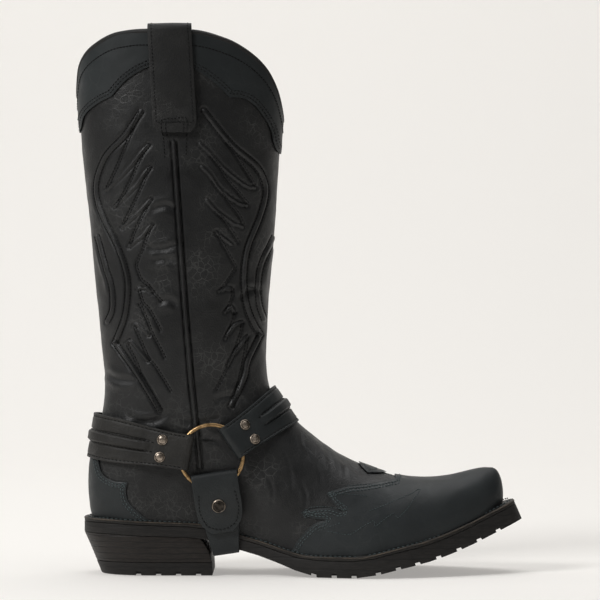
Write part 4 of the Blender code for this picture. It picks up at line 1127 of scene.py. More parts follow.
FINISHES = {
    "upper": LeatherFinish("upper_leather", (0.0052, 0.0054, 0.0056), (0.0150, 0.0153, 0.0153),
                           roughness=0.43, crack_light=0.60, grain_depth=0.00018,
                           cracks=210.0, specular=0.42),
    "overlay": LeatherFinish("overlay_leather", (0.0075, 0.0098, 0.0106), (0.0155, 0.0195, 0.0208),
                             roughness=0.50, grain=1300.0, grain_depth=0.00007,
                             cracks=90.0, crack_light=0.08, mottle=14.0),
    "strap": LeatherFinish("strap_leather", (0.0085, 0.0079, 0.0068), (0.0205, 0.0190, 0.0165),
                           roughness=0.52, grain=620.0, grain_depth=0.00026, cracks=240.0,
                           crack_light=0.25),
    "cool_strap": LeatherFinish("cool_strap_leather", (0.0068, 0.0088, 0.0094),
                                (0.0150, 0.0185, 0.0195), roughness=0.50, grain=900.0,
                                grain_depth=0.00014, cracks=200.0, crack_light=0.15),
    "pull": LeatherFinish("pull_strap_leather", (0.0058, 0.0059, 0.0058), (0.0150, 0.0147, 0.0140),
                          roughness=0.50, grain=800.0, grain_depth=0.00020, cracks=420.0,
                          crack_light=0.35),
    "lining": LeatherFinish("lining_leather", (0.085, 0.062, 0.042), (0.150, 0.115, 0.080),
                            roughness=0.70, grain=1400.0, grain_depth=0.00008,
                            crack_light=0.1),
    "insole": LeatherFinish("insole_board", (0.16, 0.105, 0.062), (0.25, 0.175, 0.11),
                            roughness=0.75, crack_light=0.1),
    "edge": LeatherFinish("cut_edge", (0.006, 0.006, 0.006), (0.014, 0.013, 0.012),
                          roughness=0.6, crack_light=0.1),
    "thread": LeatherFinish("black_thread", (0.0030, 0.0032, 0.0034), (0.0075, 0.0080, 0.0082),
                            roughness=0.60, grain=3000.0, crack_light=0.0, specular=0.25),
    # Near-black thread of the straps and the collar binding; flush rows of it beside the panel cords
    # also paint the shade of the cords' grooves
    "dark_thread_and_shade": LeatherFinish("strap_thread", (0.0018, 0.0018, 0.0018),
                                 (0.0050, 0.0050, 0.0050), roughness=0.65, grain=3000.0,
                                 crack_light=0.0, specular=0.2),
    "cool_thread": LeatherFinish("cool_thread", (0.034, 0.048, 0.050), (0.060, 0.080, 0.082),
                                 roughness=0.55, grain=3000.0, crack_light=0.0),
    "bead": LeatherFinish("worn_welt_edge", (0.016, 0.013, 0.0105), (0.085, 0.066, 0.048),
                          roughness=0.6, mottle=90.0, crack_light=0.1),
    "sole": BandedFinish("sole_rubber", (0.0085, 0.0078, 0.0072), (0.022, 0.020, 0.0185),
                         0.62, 0.0070, 0.00012),
    "welt": BandedFinish("welt_strip", (0.010, 0.0090, 0.0080), (0.034, 0.030, 0.026),
                         0.58, 0.0200, 0.00010),
    "heel": BandedFinish("stacked_heel", (0.0085, 0.0070, 0.0062), (0.026, 0.0205, 0.0170),
                         0.52, 0.0040, 0.00022),
    "brass": MetalFinish("antique_brass", (0.46, 0.30, 0.145), (0.20, 0.125, 0.060), 0.27),
    "pewter": MetalFinish("antique_pewter", (0.40, 0.335, 0.275), (0.16, 0.13, 0.105), 0.30),
    "dark_cap": MetalFinish("dark_cap", (0.060, 0.052, 0.044), (0.020, 0.018, 0.016), 0.34),
}


# Lines drawn on the side of the boot, in the photograph's pixels

BACK_PANEL = [(141, 112), (124, 136), (105, 155), (95, 178), (95, 198), (103, 220), (114, 241),
              (123, 263), (127, 284), (125, 310), (120, 327), (113, 343)]
BACK_PANEL_FOOT = [(113, 343), (129, 364), (143, 384), (159.5, 411)]
FRONT_PANEL = [(204, 111), (231, 144), (256, 165), (265, 182), (265, 198), (259, 219),
               (248, 247), (244, 275), (246, 302), (253, 322), (260.5, 335)]
FRONT_PANEL_FOOT = [(260.5, 335), (248, 361), (244, 379), (231, 406)]
BACK_INNER = [(95, 236), (104, 267), (110, 287), (110.5, 309), (105, 322)]
FRONT_INNER = [(274, 236), (262, 262), (258, 284), (259, 304), (264, 320)]
BRAID_BACK = [(93, 244), (98, 262), (104, 280), (106, 296)]
BRAID_FRONT = [(273, 243), (269, 258), (266, 272), (265, 288)]
# Stitched feathers: their steep sides have two rows, their flat sides a raised cord
STEEP_SIDES = [
    [(140, 113), (134, 125.5), (130, 135.5), (124, 149), (118.5, 162), (111.5, 176.5), (106, 187)],
    [(149.3, 145), (145, 151), (138, 163), (133, 174.5), (128, 184.5), (122.5, 195), (114.5, 206)],
    [(150.3, 167), (146, 176.5), (140, 189.5), (135, 200), (129, 212), (122, 225)],
    [(151.3, 199), (146, 209), (140, 220), (134, 232.5), (129.5, 244)],
    [(152.3, 224.5), (147, 236.5), (143, 248), (138.5, 258), (136, 266), (141, 279.5),
     (148, 285), (153, 292), (162, 302)],
    [(139, 291), (143, 303), (148, 308), (155, 320), (160.3, 330.5)],
    [(139, 304), (145, 316), (152, 333.5), (159, 347), (164.4, 358)],
    [(135, 329), (141, 342.5), (148, 358), (156, 368), (164, 381), (170.5, 391.5)],
    [(127, 346), (135.5, 362), (141, 377), (148, 389.5), (159.3, 410)],
    [(227.5, 143), (236, 156), (244, 168), (252, 180.5), (255, 185)],
    [(211, 156), (218.5, 166), (226, 178.5), (237, 191), (247.5, 203)],
    [(213, 181), (221, 192), (229, 203), (238, 214), (243.5, 225)],
    [(216, 211), (224, 220.5), (231, 230.5), (239, 243)],
    [(216.4, 232.5), (220.5, 240.5), (227, 252), (232.5, 262), (235, 268), (228.5, 279.5),
     (219.5, 291.5)],
    [(232.5, 289.5), (232.7, 296), (229.5, 304), (225.5, 312)],
    [(235, 313), (231.5, 324.5), (225.5, 338.5)],
    [(242, 324), (240.5, 333), (234, 353), (228.5, 365), (222, 378), (215.3, 390.5)],
    [(247, 338), (245, 352), (241, 372), (237.5, 386), (232.7, 406)]]
CORDED_SIDES = [
    [(104.8, 189.5), (112.5, 183.5), (124, 173.2), (134, 162), (142, 152), (149, 145.2)],
    [(113.5, 206.6), (121, 200), (129, 192.8), (137, 184.5), (143.2, 175.5), (150, 167.6)],
    [(121.5, 227), (131, 219.3), (140, 211), (146, 205), (151, 199.3)],
    [(129, 246.5), (136, 240.8), (142, 236.5), (146.5, 230.5), (152, 224.8)],
    [(137.5, 289), (141, 288), (146, 288.5), (152.5, 291.5)],
    [(133.5, 325), (137, 325), (143, 329.5), (148, 335)],
    [(125.5, 342.5), (130, 341.5), (138, 350), (147, 360.5)],
    [(200, 144), (210, 153), (221.5, 166), (231, 174.5), (240, 181.5), (248, 186.5), (255, 187)],
    [(202, 167), (210.5, 175.5), (218.5, 187.5), (226.5, 195), (239, 203), (247, 205)],
    [(207, 200), (215.5, 210), (224.5, 217), (235, 224), (243, 226.5)],
    [(216.5, 232.5), (224.5, 238.5), (232.5, 245)],
    [(219.5, 291.5), (225.5, 288.8), (232, 288.8)], [(225.5, 312), (231.5, 307), (234.7, 312)],
    [(225.5, 338.5), (230.5, 330.5), (235.7, 324.5), (242, 322.3)],
    [(228.5, 365), (234.5, 353), (241, 345), (247, 336.6)]]
VAMP_SCROLL = [
    [(328.6, 531), (339, 533), (350, 533.8), (361, 527), (373.2, 520.4), (374.5, 523),
     (375.5, 525.5), (384, 519), (392.9, 513.2)],
    [(396, 516), (398.2, 517.5), (407, 509), (414, 500), (421.2, 490.2), (413, 494),
     (405.4, 497), (392.9, 501.6), (380, 507), (369.6, 510.5)],
    [(302, 513.2), (310.7, 508), (326.8, 507), (348, 509.3), (337, 500), (327, 493.8),
     (346.4, 494.5), (366, 496)],
    [(348.2, 486.4), (364.3, 485.5), (389.3, 486.4), (398, 481), (392.9, 478.4), (378.6, 474.5)],
    [(339, 523), (330, 526), (319, 530)]]
SHAFT_CREASES = [[(126, 417), (140, 421.5), (156, 421), (170, 412)],
                 [(120, 431), (136, 426), (152, 430)],
                 [(152, 262), (163, 258.5), (176, 262)], [(146, 246), (160, 250), (178, 244)],
                 [(156, 303), (168, 300), (178, 306)], [(150, 210), (166, 206), (180, 212)],
                 [(180, 418), (200, 424), (222, 417)], [(186, 436), (198, 433), (209, 436)],
                 [(196, 441), (206, 439.5), (220, 441)], [(240, 300), (250, 290), (262, 292)],
                 [(100, 372), (116, 380), (136, 381)], [(213, 401), (232, 396), (246, 402)]]
VAMP_CREASES = [[(300, 433), (304, 450), (318, 468), (322, 486)],
                [(318, 443), (328, 455), (332, 473)], [(282, 447), (290, 470), (292, 492)],
                [(336, 455), (345, 466), (346, 480)], [(262, 470), (272, 487), (272, 507)],
                [(345, 462), (358, 473), (374, 478)], [(300, 480), (306, 497), (304, 512)]]


def beside(line: np.ndarray, shift: float) -> np.ndarray:
    """A line moved sideways in the side view.

    Args:
        line: its points.
        shift: how far.

    Returns:
        The moved points.
    """
    run = np.gradient(line, axis=0)
    run /= np.maximum(np.linalg.norm(run, axis=1, keepdims=True), 1e-9)
    return line + np.column_stack([run[:, 1], -run[:, 0]]) * shift


def drawn_lines(form: BootForm) -> Tuple[List[Drawn], Dict[str, List[np.ndarray]]]:
    """Every line on the leather.

    Args:
        form: the boot's form, for the side seam.

    Returns:
        What presses into the leather, and the lines that get stitch rows.
    """
    cords = [VIEW.line(smooth_line(line, 6)) for line in
             (BACK_PANEL, BACK_PANEL_FOOT, FRONT_PANEL, FRONT_PANEL_FOOT)]
    inner = [VIEW.line(smooth_line(line, 6)) for line in (BACK_INNER, FRONT_INNER)]
    braids = [VIEW.line(smooth_line(line, 6)) for line in (BRAID_BACK, BRAID_FRONT)]
    steep = [VIEW.line(smooth_line(line, 5)) for line in STEEP_SIDES]
    corded = [VIEW.line(smooth_line(line, 5)) for line in CORDED_SIDES]
    seam = np.column_stack([form.forward_x(PIPING_LINE.at("forward", PIPING_LINE.keys)),
                            PIPING_LINE.keys])
    seam = smooth_line(np.column_stack([seam[:, 0], form.real_height(seam[:, 0], seam[:, 1])]), 6)
    creases = [VIEW.line(smooth_line(line, 5)) for line in SHAFT_CREASES]
    vamp = [VIEW.line(smooth_line(line, 5)) for line in VAMP_CREASES]
    drawn = [Drawn(line, Mark.CORD, 0.0010, 0.0010) for line in cords]
    drawn += [Drawn(line, Mark.CORD, 0.0007, 0.0009) for line in inner]
    drawn += [Drawn(line, Mark.RIDGE, 0.0010, 0.0016) for line in braids]
    drawn += [Drawn(line, Mark.CORD, 0.0009, 0.0007) for line in corded]
    drawn += [Drawn(line, Mark.GROOVE, 0.0008, 0.0012) for line in steep]
    drawn += [Drawn(line, Mark.CREASE, 0.0011, 0.0022) for line in creases]
    drawn += [Drawn(line, Mark.CREASE, 0.0004, 0.0012) for line in vamp]
    drawn += [Drawn(seam + np.array([shift, 0.0]), Mark.GROOVE, 0.0011, 0.0008)
              for shift in (-0.0017, 0.0017)]
    scroll = [VIEW.line(smooth_line(line, 5)) for line in VAMP_SCROLL]
    pairs = [beside(line, shift) for line in steep for shift in (-0.0009, 0.0009)]
    # The panel rows lie in the grooves 2 mm to either side of each cord: their dark stitches are
    # stitch rows and painted shade of those grooves
    return drawn, {"shaft": pairs, "wing": scroll,
                   "panel": [beside(line, shift) for line in cords + inner
                             for shift in (-0.0020, 0.0020)]}


# Outlines of the overlays: forward is a share of the outsole's length, height counts 1 at
# the ankle and 2 at the collar. Each stroke is smooth, and strokes meet in corners

CUFF_STROKES = [
    [(-0.040, 1.690), (-0.010, 1.727), (0.003, 1.768), (0.032, 1.797), (0.068, 1.818)],
    [(0.068, 1.818), (0.103, 1.863), (0.144, 1.893), (0.203, 1.916), (0.264, 1.885),
     (0.293, 1.861), (0.317, 1.836), (0.335, 1.813)],
    [(0.335, 1.813), (0.360, 1.813), (0.386, 1.798), (0.411, 1.762), (0.427, 1.726),
     (0.434, 1.687), (0.447, 1.664), (0.480, 1.655)]]
WING_STROKES = [
    [(0.470, -0.080), (0.473, 0.000), (0.493, 0.100), (0.522, 0.185), (0.551, 0.215)],
    [(0.551, 0.215), (0.520, 0.222), (0.496, 0.245)],
    [(0.496, 0.245), (0.520, 0.275), (0.560, 0.285), (0.588, 0.262)],
    [(0.588, 0.262), (0.566, 0.315), (0.553, 0.375)],
    [(0.553, 0.375), (0.605, 0.413), (0.657, 0.418), (0.712, 0.419)],
    [(0.712, 0.419), (0.706, 0.450), (0.675, 0.468), (0.647, 0.480)],
    [(0.647, 0.480), (0.628, 0.540), (0.622, 0.620), (0.640, 0.900)]]
COUNTER_STROKES = [
    [(-0.050, 0.700), (0.020, 0.690)], [(0.020, 0.690), (0.026, 0.560), (0.034, 0.430)],
    [(0.034, 0.430), (0.044, 0.335), (0.070, 0.288), (0.103, 0.285)],
    [(0.103, 0.285), (0.099, 0.210), (0.104, 0.140)],
    [(0.104, 0.140), (0.120, 0.085), (0.150, 0.010), (0.160, -0.080)]]


class Projector:
    """Finds the outermost leather behind a point of the side view."""

    def __init__(self, pieces: Sequence[bpy.types.Object]) -> None:
        """Builds a search tree for each piece."""
        self.trees = []
        for piece in pieces:
            corners = [v.co.copy() for v in piece.data.vertices]
            self.trees.append(BVHTree.FromPolygons(corners, [tuple(p.vertices) for p in
                                                             piece.data.polygons]))

    def cast(self, origin: Vector, direction: Vector) -> Optional[Tuple[Vector, Vector]]:
        """First hit of a ray, as its place and normal, or None."""
        best = None
        for tree in self.trees:
            place, normal, _, far = tree.ray_cast(origin, direction)
            if place is not None and (best is None or far < best[2]):
                best = (place, normal, far)
        return None if best is None else best[:2]

    def side_line(self, line: np.ndarray, side: Side, lift: float) -> List[List[Vector]]:
        """Lays a side-view line on the leather.

        Args:
            line: X and Z of the line.
            side: the side of the boot.
            lift: how far it stands over the leather.

        Returns:
            Runs of points, split where the line leaves the boot.
        """
        runs: List[List[Vector]] = [[]]
        steps = np.linalg.norm(np.diff(line, axis=0), axis=1)
        reach = np.concatenate([[0.0], np.cumsum(steps)])
        for at in np.arange(0.0, reach[-1], 0.0012):
            x = np.interp(at, reach, line[:, 0])
            z = np.interp(at, reach, line[:, 1])
            hit = self.cast(Vector((x, side.value * 0.2, z)), Vector((0.0, -side.value, 0.0)))
            if hit is None or hit[1].y * side.value < 0.12:
                if runs[-1]:
                    runs.append([])
                continue
            runs[-1].append(hit[0] + hit[1] * lift)
        return [run for run in runs if len(run) > 2]


# A stitch is a small ball drawn out along its row
STITCH_SIDES = 6
STITCH_RINGS = 4
STITCH_POINTS = STITCH_SIDES * (STITCH_RINGS - 1) + 2


def stitch_tree() -> Tuple[bpy.types.NodeTree, Dict[str, str]]:
    """Geometry Nodes that set a stitch at each step of a path.

    Returns:
        The tree and its inputs' identifiers by name.
    """
    tree = bpy.data.node_groups.new("stitch_row", "GeometryNodeTree")
    tree.is_modifier = True
    face = tree.interface
    face.new_socket("Path", in_out="INPUT", socket_type="NodeSocketGeometry")
    sockets = {}
    for name, kind, default in (("Pitch", "NodeSocketFloat", 0.003),
                                ("Length", "NodeSocketFloat", 0.0022),
                                ("Radius", "NodeSocketFloat", 0.0004),
                                ("Thread", "NodeSocketMaterial", None)):
        socket = face.new_socket(name, in_out="INPUT", socket_type=kind)
        if default is not None:
            socket.default_value = default
        sockets[name] = socket.identifier
    face.new_socket("Stitches", in_out="OUTPUT", socket_type="NodeSocketGeometry")
    build = NodeTree(tree)
    given = build.add("NodeGroupInput").outputs
    curve = build.add("GeometryNodeMeshToCurve", {"Mesh": given["Path"]})
    points = build.add("GeometryNodeCurveToPoints", {"Curve": curve.outputs[0],
                                                     "Length": given["Pitch"]}, mode="LENGTH")
    ball = build.add("GeometryNodeMeshUVSphere", {"Segments": STITCH_SIDES,
                                                  "Rings": STITCH_RINGS, "Radius": 1.0})
    turn = build.add("FunctionNodeAlignRotationToVector", {"Vector": points.outputs["Tangent"]},
                     axis="Z")
    half = build.math("MULTIPLY", given["Length"], 0.5)
    size = build.add("ShaderNodeCombineXYZ", {"X": given["Radius"], "Y": given["Radius"],
                                              "Z": half})
    spread = build.add("GeometryNodeInstanceOnPoints",
                       {"Points": points.outputs["Points"], "Instance": ball.outputs["Mesh"],
                        "Rotation": turn.outputs[0], "Scale": size.outputs[0]})
    real = build.add("GeometryNodeRealizeInstances", {"Geometry": spread.outputs[0]})
    even = build.add("GeometryNodeSetShadeSmooth", {"Geometry": real.outputs[0]})
    dressed = build.add("GeometryNodeSetMaterial", {"Geometry": even.outputs[0],
                                                    "Material": given["Thread"]})
    leave = build.add("NodeGroupOutput")
    tree.links.new(dressed.outputs[0], leave.inputs[0])
    return tree, sockets


class Workshop:
    """What every sub-assembly shares: form, leather relief, materials and stitches."""

    def __init__(self, frame: Dict) -> None:
        """Builds the materials and the shared trees.
        """
        self.nodes = frame["nodes"]
        self.form = BootForm()
        drawn, self.rows = drawn_lines(self.form)
        self.leather = Leather(drawn)
        groups = {"leather": leather_group(), "wear": wear_group()}
        self.finish = {key: finish.build(groups) for key, finish in FINISHES.items()}
        self.tree, self.sockets = stitch_tree()

    def stitches(self, name: str, runs: Sequence[Sequence[Vector]], thread: str, pitch: float,
                 radius: float = 0.00042, fill: float = 0.72) -> Optional[bpy.types.Object]:
        """Sews rows of stitches along runs of points.

        Args:
            name: the piece's name.
            runs: points of each row, in order.
            thread: the thread's finish.
            pitch: from one stitch to the next.
            radius: the thread's radius.
            fill: a stitch's length as a share of the pitch.

        Returns:
            The stitches as one mesh, or None where no run is long enough.
        """
        vertices: List[Tuple] = []
        edges: List[Tuple[int, int]] = []
        for run in runs:
            base = len(vertices)
            vertices += [tuple(p) for p in run]
            edges += [(base + i, base + i + 1) for i in range(len(run) - 1)]
        if not edges:
            return None
        mesh = bpy.data.meshes.new(name)
        mesh.from_pydata(vertices, edges, [])
        made = linked(name, mesh)
        sew = made.modifiers.new("stitches", "NODES")
        sew.node_group = self.tree
        sew[self.sockets["Pitch"]] = pitch
        sew[self.sockets["Length"]] = pitch * fill
        sew[self.sockets["Radius"]] = radius
        sew[self.sockets["Thread"]] = self.finish[thread]
        evaluated(made)
        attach(made, "boot")
        LOG.info("%s: %d stitches", name, len(made.data.vertices) // STITCH_POINTS)
        return made

    def softened(self, node: str, name: str, finish: str, bevel: float,
                 levels: int = 0) -> bpy.types.Object:
        """Copy of a solid with soft edges, to stand for it.

        Args:
            node: the solid.
            name: the new piece.
            finish: its finish.
            bevel: width of the rounded edges.
            levels: subdivision after the bevel.

        Returns:
            The piece, riding on the boot.
        """
        shape = bmesh.new()
        shape.from_mesh(self.nodes[node].data)
        bmesh.ops.remove_doubles(shape, verts=shape.verts, dist=0.00002)
        if not levels:
            bmesh.ops.dissolve_limit(shape, angle_limit=math.radians(0.6), verts=shape.verts,
                                     edges=shape.edges)
        bmesh.ops.join_triangles(shape, faces=shape.faces, angle_face_threshold=0.7,
                                 angle_shape_threshold=0.9)
        mesh = bpy.data.meshes.new(name)
        shape.to_mesh(mesh)
        shape.free()
        mesh.materials.append(self.finish[finish])
        made = linked(name, mesh)
        bevelled(made, bevel, 40.0)
        if levels:
            fine = made.modifiers.new("fine", "SUBSURF")
            fine.levels = levels
            fine.render_levels = levels
        evaluated(made)
        made.data.shade_smooth()
        made.data.set_sharp_from_angle(angle=math.radians(50.0))
        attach(made, "boot")
        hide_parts(node)
        LOG.info("%s: %d faces", name, len(made.data.polygons))
        return made

    def seat(self, node: str) -> Tuple[Vector, Vector, float, float]:
        """Reads a turned head's solid.

        Args:
            node: the solid.

        Returns:
            The middle of its flat base, its axis, its radius and its height.
        """
        mesh = self.nodes[node].data
        areas: Dict[Tuple, float] = {}
        for face in mesh.polygons:
            key = tuple(round(v, 1) for v in face.normal)
            areas[key] = areas.get(key, 0.0) + face.area
        widest = max(areas, key=areas.get)
        flat = next(face.normal.copy() for face in mesh.polygons
                    if tuple(round(v, 1) for v in face.normal) == widest)
        corners = {v for face in mesh.polygons if face.normal.dot(flat) > 0.999
                   for v in face.vertices}
        centre = sum((mesh.vertices[v].co for v in corners), Vector()) / len(corners)
        radius = max((mesh.vertices[v].co - centre).length for v in corners)
        height = max(-(v.co - centre).dot(flat) for v in mesh.vertices)
        return centre, -flat, radius, height

    def turned(self, node: str, profile: Sequence[Tuple[float, float, int]],
               finishes: Sequence[str], under: Projector,
               wobble: float = 0.0) -> bpy.types.Object:
        """Turned head in place of a simple solid.

        Args:
            node: the solid that it stands for.
            profile: from the base up, shares of its radius and height with a material slot.
            finishes: what the slots hold.
            under: finds the leather that it is set in.
            wobble: unevenness of the rim, as a share of its radius.

        Returns:
            The head, riding on the boot.
        """
        centre, axis, radius, height = self.seat(node)
        hit = under.cast(centre + axis * 0.01, -axis)
        if hit is not None and (hit[0] - centre).length < 0.004:
            centre = hit[0] - axis * 0.0003
        turn = axis.to_track_quat("Z", "Y")
        sides = 28
        points = []
        for share, level, _ in profile:
            for k in range(sides):
                angle = 2.0 * math.pi * k / sides
                reach = radius * share * (1.0 + wobble * math.sin(angle * 9.0) * share ** 4)
                spot = Vector((reach * math.cos(angle), reach * math.sin(angle), height * level))
                points.append(tuple(centre + turn @ spot))
        faces = grid_quads(len(profile), sides, True).tolist()
        slots = [profile[i + 1][2] for i in range(len(profile) - 1) for _ in range(sides)]
        faces.append(list(range(sides))[::-1])
        faces.append(list(range((len(profile) - 1) * sides, len(profile) * sides)))
        slots += [0, profile[-1][2]]
        made = mesh_object(node + "_head", np.array(points), faces,
                           [self.finish[key] for key in finishes], np.array(slots))
        made.data.set_sharp_from_angle(angle=math.radians(60.0))
        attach(made, "boot")
        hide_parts(node)
        return made


@dataclass
class Upper:
    """Shaft and vamp as one skin, with its lining and the overlays sewn on it."""

    shop: Workshop
    wall: float = 0.0024
    overlay_wall: float = 0.0012
    clearance: float = 0.0003
    columns: int = 560
    coarse: int = 5
    joints: Tuple[Tuple[str, float, float, int], ...] = (
        ("vamp_skin", 0.0, 0.5, 106), ("shaft_skin", 0.5, 0.745, 171),
        ("shaft_top_skin", 0.745, 1.0, 171))

    def skin(self, rings: np.ndarray, columns: int, offset: float,
             marks: Sequence[Mark]) -> np.ndarray:
        """Grid of points over the form, moved out by an offset and the relief."""
        turns = np.linspace(0.0, 2.0, columns, endpoint=False)
        points = self.shop.form.surface(rings, turns)
        normals = grid_normals(points, True)
        lift = offset + self.shop.leather.relief(points, marks)
        return points + normals * lift[..., None]

    def build(self) -> List[bpy.types.Object]:
        """Makes the skin in three pieces, one above the other, each with its lining."""
        every = tuple(Mark)
        pieces = []
        around = np.linspace(0.0, 2.0, self.columns // self.coarse, endpoint=False)
        for name, low, high, rows in self.joints:
            rings = np.linspace(low, high, rows)
            outer = self.skin(rings, self.columns, 0.0, every)
            plain = self.shop.form.surface(rings[::self.coarse], around)
            inner = plain - grid_normals(plain, True) * self.wall
            vertices, faces = slab(outer, inner, True)
            quads = (rows - 1) * self.columns
            slots = np.zeros(len(faces), dtype=int)
            slots[quads:quads + (len(inner) - 1) * len(around)] = 1
            made = mesh_object(name, vertices, faces,
                               [self.shop.finish["upper"], self.shop.finish["lining"]], slots)
            made.data.set_sharp_from_angle(angle=math.radians(70.0))
            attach(made, "boot")
            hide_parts("upper")
            pieces.append(made)
            LOG.info("%s: %d faces", name, len(faces))
        return pieces


@dataclass
class Overlay:
    """A leather layer on the upper, cut to a smooth outline."""

    shop: Workshop
    upper: Upper
    name: str
    node: str
    strokes: List[List[Pair]]
    closing: List[Pair]
    rings: Tuple[float, float, int]
    columns: int
    inside: float = 1.0

    def outline(self) -> np.ndarray:
        """The drawn edge in the side view, without its closing points."""
        form = self.shop.form
        rows: List[Pair] = []
        for stroke in self.strokes:
            dense = smooth_line(stroke, 8)
            rows += [tuple(row) for row in (dense[1:] if rows else dense)]
        x = form.forward_x(np.array([row[0] for row in rows]))
        z = form.real_height(x, np.array([row[1] for row in rows]))
        return np.column_stack([x, z])

    def build(self) -> bpy.types.Object:
        """Cuts the layer from a shell over the upper."""
        upper = self.upper
        rings = np.linspace(*self.rings)
        marks = (Mark.CREASE,)
        edge = self.outline()
        inner = upper.skin(rings, self.columns, upper.clearance, marks)
        outer = upper.skin(rings, self.columns, upper.clearance + upper.overlay_wall, marks)
        gap, _ = distance_to(edge, outer[..., 0], outer[..., 2])
        drop = upper.overlay_wall * 0.5 * np.exp(-(gap / 0.0009) ** 2)
        groove = 0.0003 * np.exp(-((gap - 0.0021) / 0.0007) ** 2)
        outer = outer - grid_normals(outer, True) * (drop + groove)[..., None]
        vertices, faces = slab(outer, inner, True)
        made = mesh_object(self.name, vertices, faces, [self.shop.finish["overlay"]])
        reach = self.shop.form.ball_width
        loop = [tuple(row) for row in edge] + self.closing
        count = len(loop)
        corners = [(x, y, z) for y in (-reach, reach) for x, z in loop]
        sides = [(i, (i + 1) % count, count + (i + 1) % count, count + i) for i in range(count)]
        prism = bpy.data.meshes.new(self.name + "_outline")
        prism.from_pydata(corners, [], sides + [tuple(range(count))[::-1],
                                                tuple(range(count, 2 * count))])
        shape = bmesh.new()
        shape.from_mesh(prism)
        bmesh.ops.recalc_face_normals(shape, faces=shape.faces)
        shape.to_mesh(prism)
        shape.free()
        cutter = linked(self.name + "_outline", prism)
        cut = made.modifiers.new("cut", "BOOLEAN")
        cut.operation = "INTERSECT"
        cut.object = cutter
        cut.solver = "EXACT"
        evaluated(made)
        bpy.data.objects.remove(cutter)
        made.data.set_sharp_from_angle(angle=math.radians(45.0))
        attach(made, "boot")
        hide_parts(self.node)
        LOG.info("%s: %d faces", self.name, len(made.data.polygons))
        return made

    def rows(self, insets: Sequence[float]) -> List[np.ndarray]:
        """Stitch lines inside the edge, at insets from it."""
        edge = self.outline()
        run = np.gradient(edge, axis=0)
        normal = np.column_stack([run[:, 1], -run[:, 0]])
        normal /= np.maximum(np.linalg.norm(normal, axis=1, keepdims=True), 1e-9)
        return [edge + normal * inset * self.inside for inset in insets]


def build_overlays(shop: Workshop, upper: Upper) -> List[Overlay]:
    """The three overlays, built in order.

    Args:
        shop: the shared workshop.
        upper: the skin they lie on.

    Returns:
        The overlays, whose objects have their names.
    """
    form = shop.form
    above = form.collar_height + form.ball_width
    behind, ahead = (float(form.forward_x(share)) for share in (-0.2, 1.2))
    wing_top = float(form.real_height(0.0, 0.95))
    hem = [(float(x), float(form.sole_line(x)) + form.fit_clearance)
           for x in np.linspace(form.forward_x(1.2), form.forward_x(0.480), 40)]
    heel_hem = [(float(x), float(form.sole_line(x)) + form.fit_clearance)
                for x in np.linspace(form.forward_x(0.165), behind, 12)]
    made = [
        Overlay(shop, upper, "collar_cuff_skin", "collar_cuff", CUFF_STROKES,
                [(ahead, float(form.real_height(0.0, 1.655))), (ahead, above),
                 (behind, above), (behind, float(form.real_height(0.0, 1.690)))],
                (0.80, 1.0, 90), 400, -1.0),
        Overlay(shop, upper, "toe_wing_skin", "toe_wing",
                [WING_STROKES[0][1:]] + WING_STROKES[1:],
                [(ahead, wing_top)] + hem, (0.0, 0.46, 120), 400),
        Overlay(shop, upper, "heel_counter_skin", "heel_counter",
                COUNTER_STROKES[:-1] + [COUNTER_STROKES[-1][:-1]], heel_hem,
                (0.0, 0.42, 100), 300)]
    for overlay in made:
        overlay.build()
    return made


@dataclass(frozen=True)
class StrapFrame:
    """Side-view frame at a ring's centre: reach runs along a strap, across is its width."""

    centre: Vector
    rise: float

    def place(self, reach: float, y: float, across: float) -> Vector:
        """Point at a reach, a Y and a place across the strap."""
        turn = math.radians(self.rise)
        along = Vector((math.cos(turn), 0.0, math.sin(turn)))
        side = Vector((-math.sin(turn), 0.0, math.cos(turn)))
        return self.centre + along * reach + side * across + Vector((0.0, y, 0.0))

    def reach_of(self, point: Vector) -> float:
        """How far a point lies along the strap."""
        turn = math.radians(self.rise)
        return (point - self.centre).dot(Vector((math.cos(turn), 0.0, math.sin(turn))))


@dataclass(frozen=True)
class StrapPlan:
    """A strap pulled round the boot between the rings."""

    node: str
    rise: float
    core: float
    rows: Tuple[float, ...]
    finish: str
    thread: str
    slot: str


STRAPS = (
    StrapPlan("back_strap", 171.0, 0.040, (-0.43, -0.125, 0.125, 0.43), "strap",
              "dark_thread_and_shade", "strap_leather"),
    StrapPlan("front_strap", 34.5, 0.012, (-0.43, -0.125, 0.125, 0.43), "cool_strap",
              "dark_thread_and_shade", "overlay_leather"))
TAB_RISE = -81.5
RIVET_PROFILE = ((1.0, 0.0, 0), (1.0, 0.35, 0), (0.93, 0.62, 0), (0.82, 0.72, 0),
                 (0.74, 0.56, 1), (0.68, 0.60, 1), (0.55, 0.86, 0), (0.30, 0.98, 0),
                 (0.03, 1.0, 0))
STUD_PROFILE = ((1.0, 0.0, 0), (1.0, 0.40, 0), (0.95, 0.66, 0), (0.86, 0.78, 0),
                (0.78, 0.58, 1), (0.72, 0.50, 1), (0.60, 0.62, 1), (0.42, 0.66, 1),
                (0.36, 0.80, 1), (0.22, 0.98, 1), (0.03, 1.0, 1))


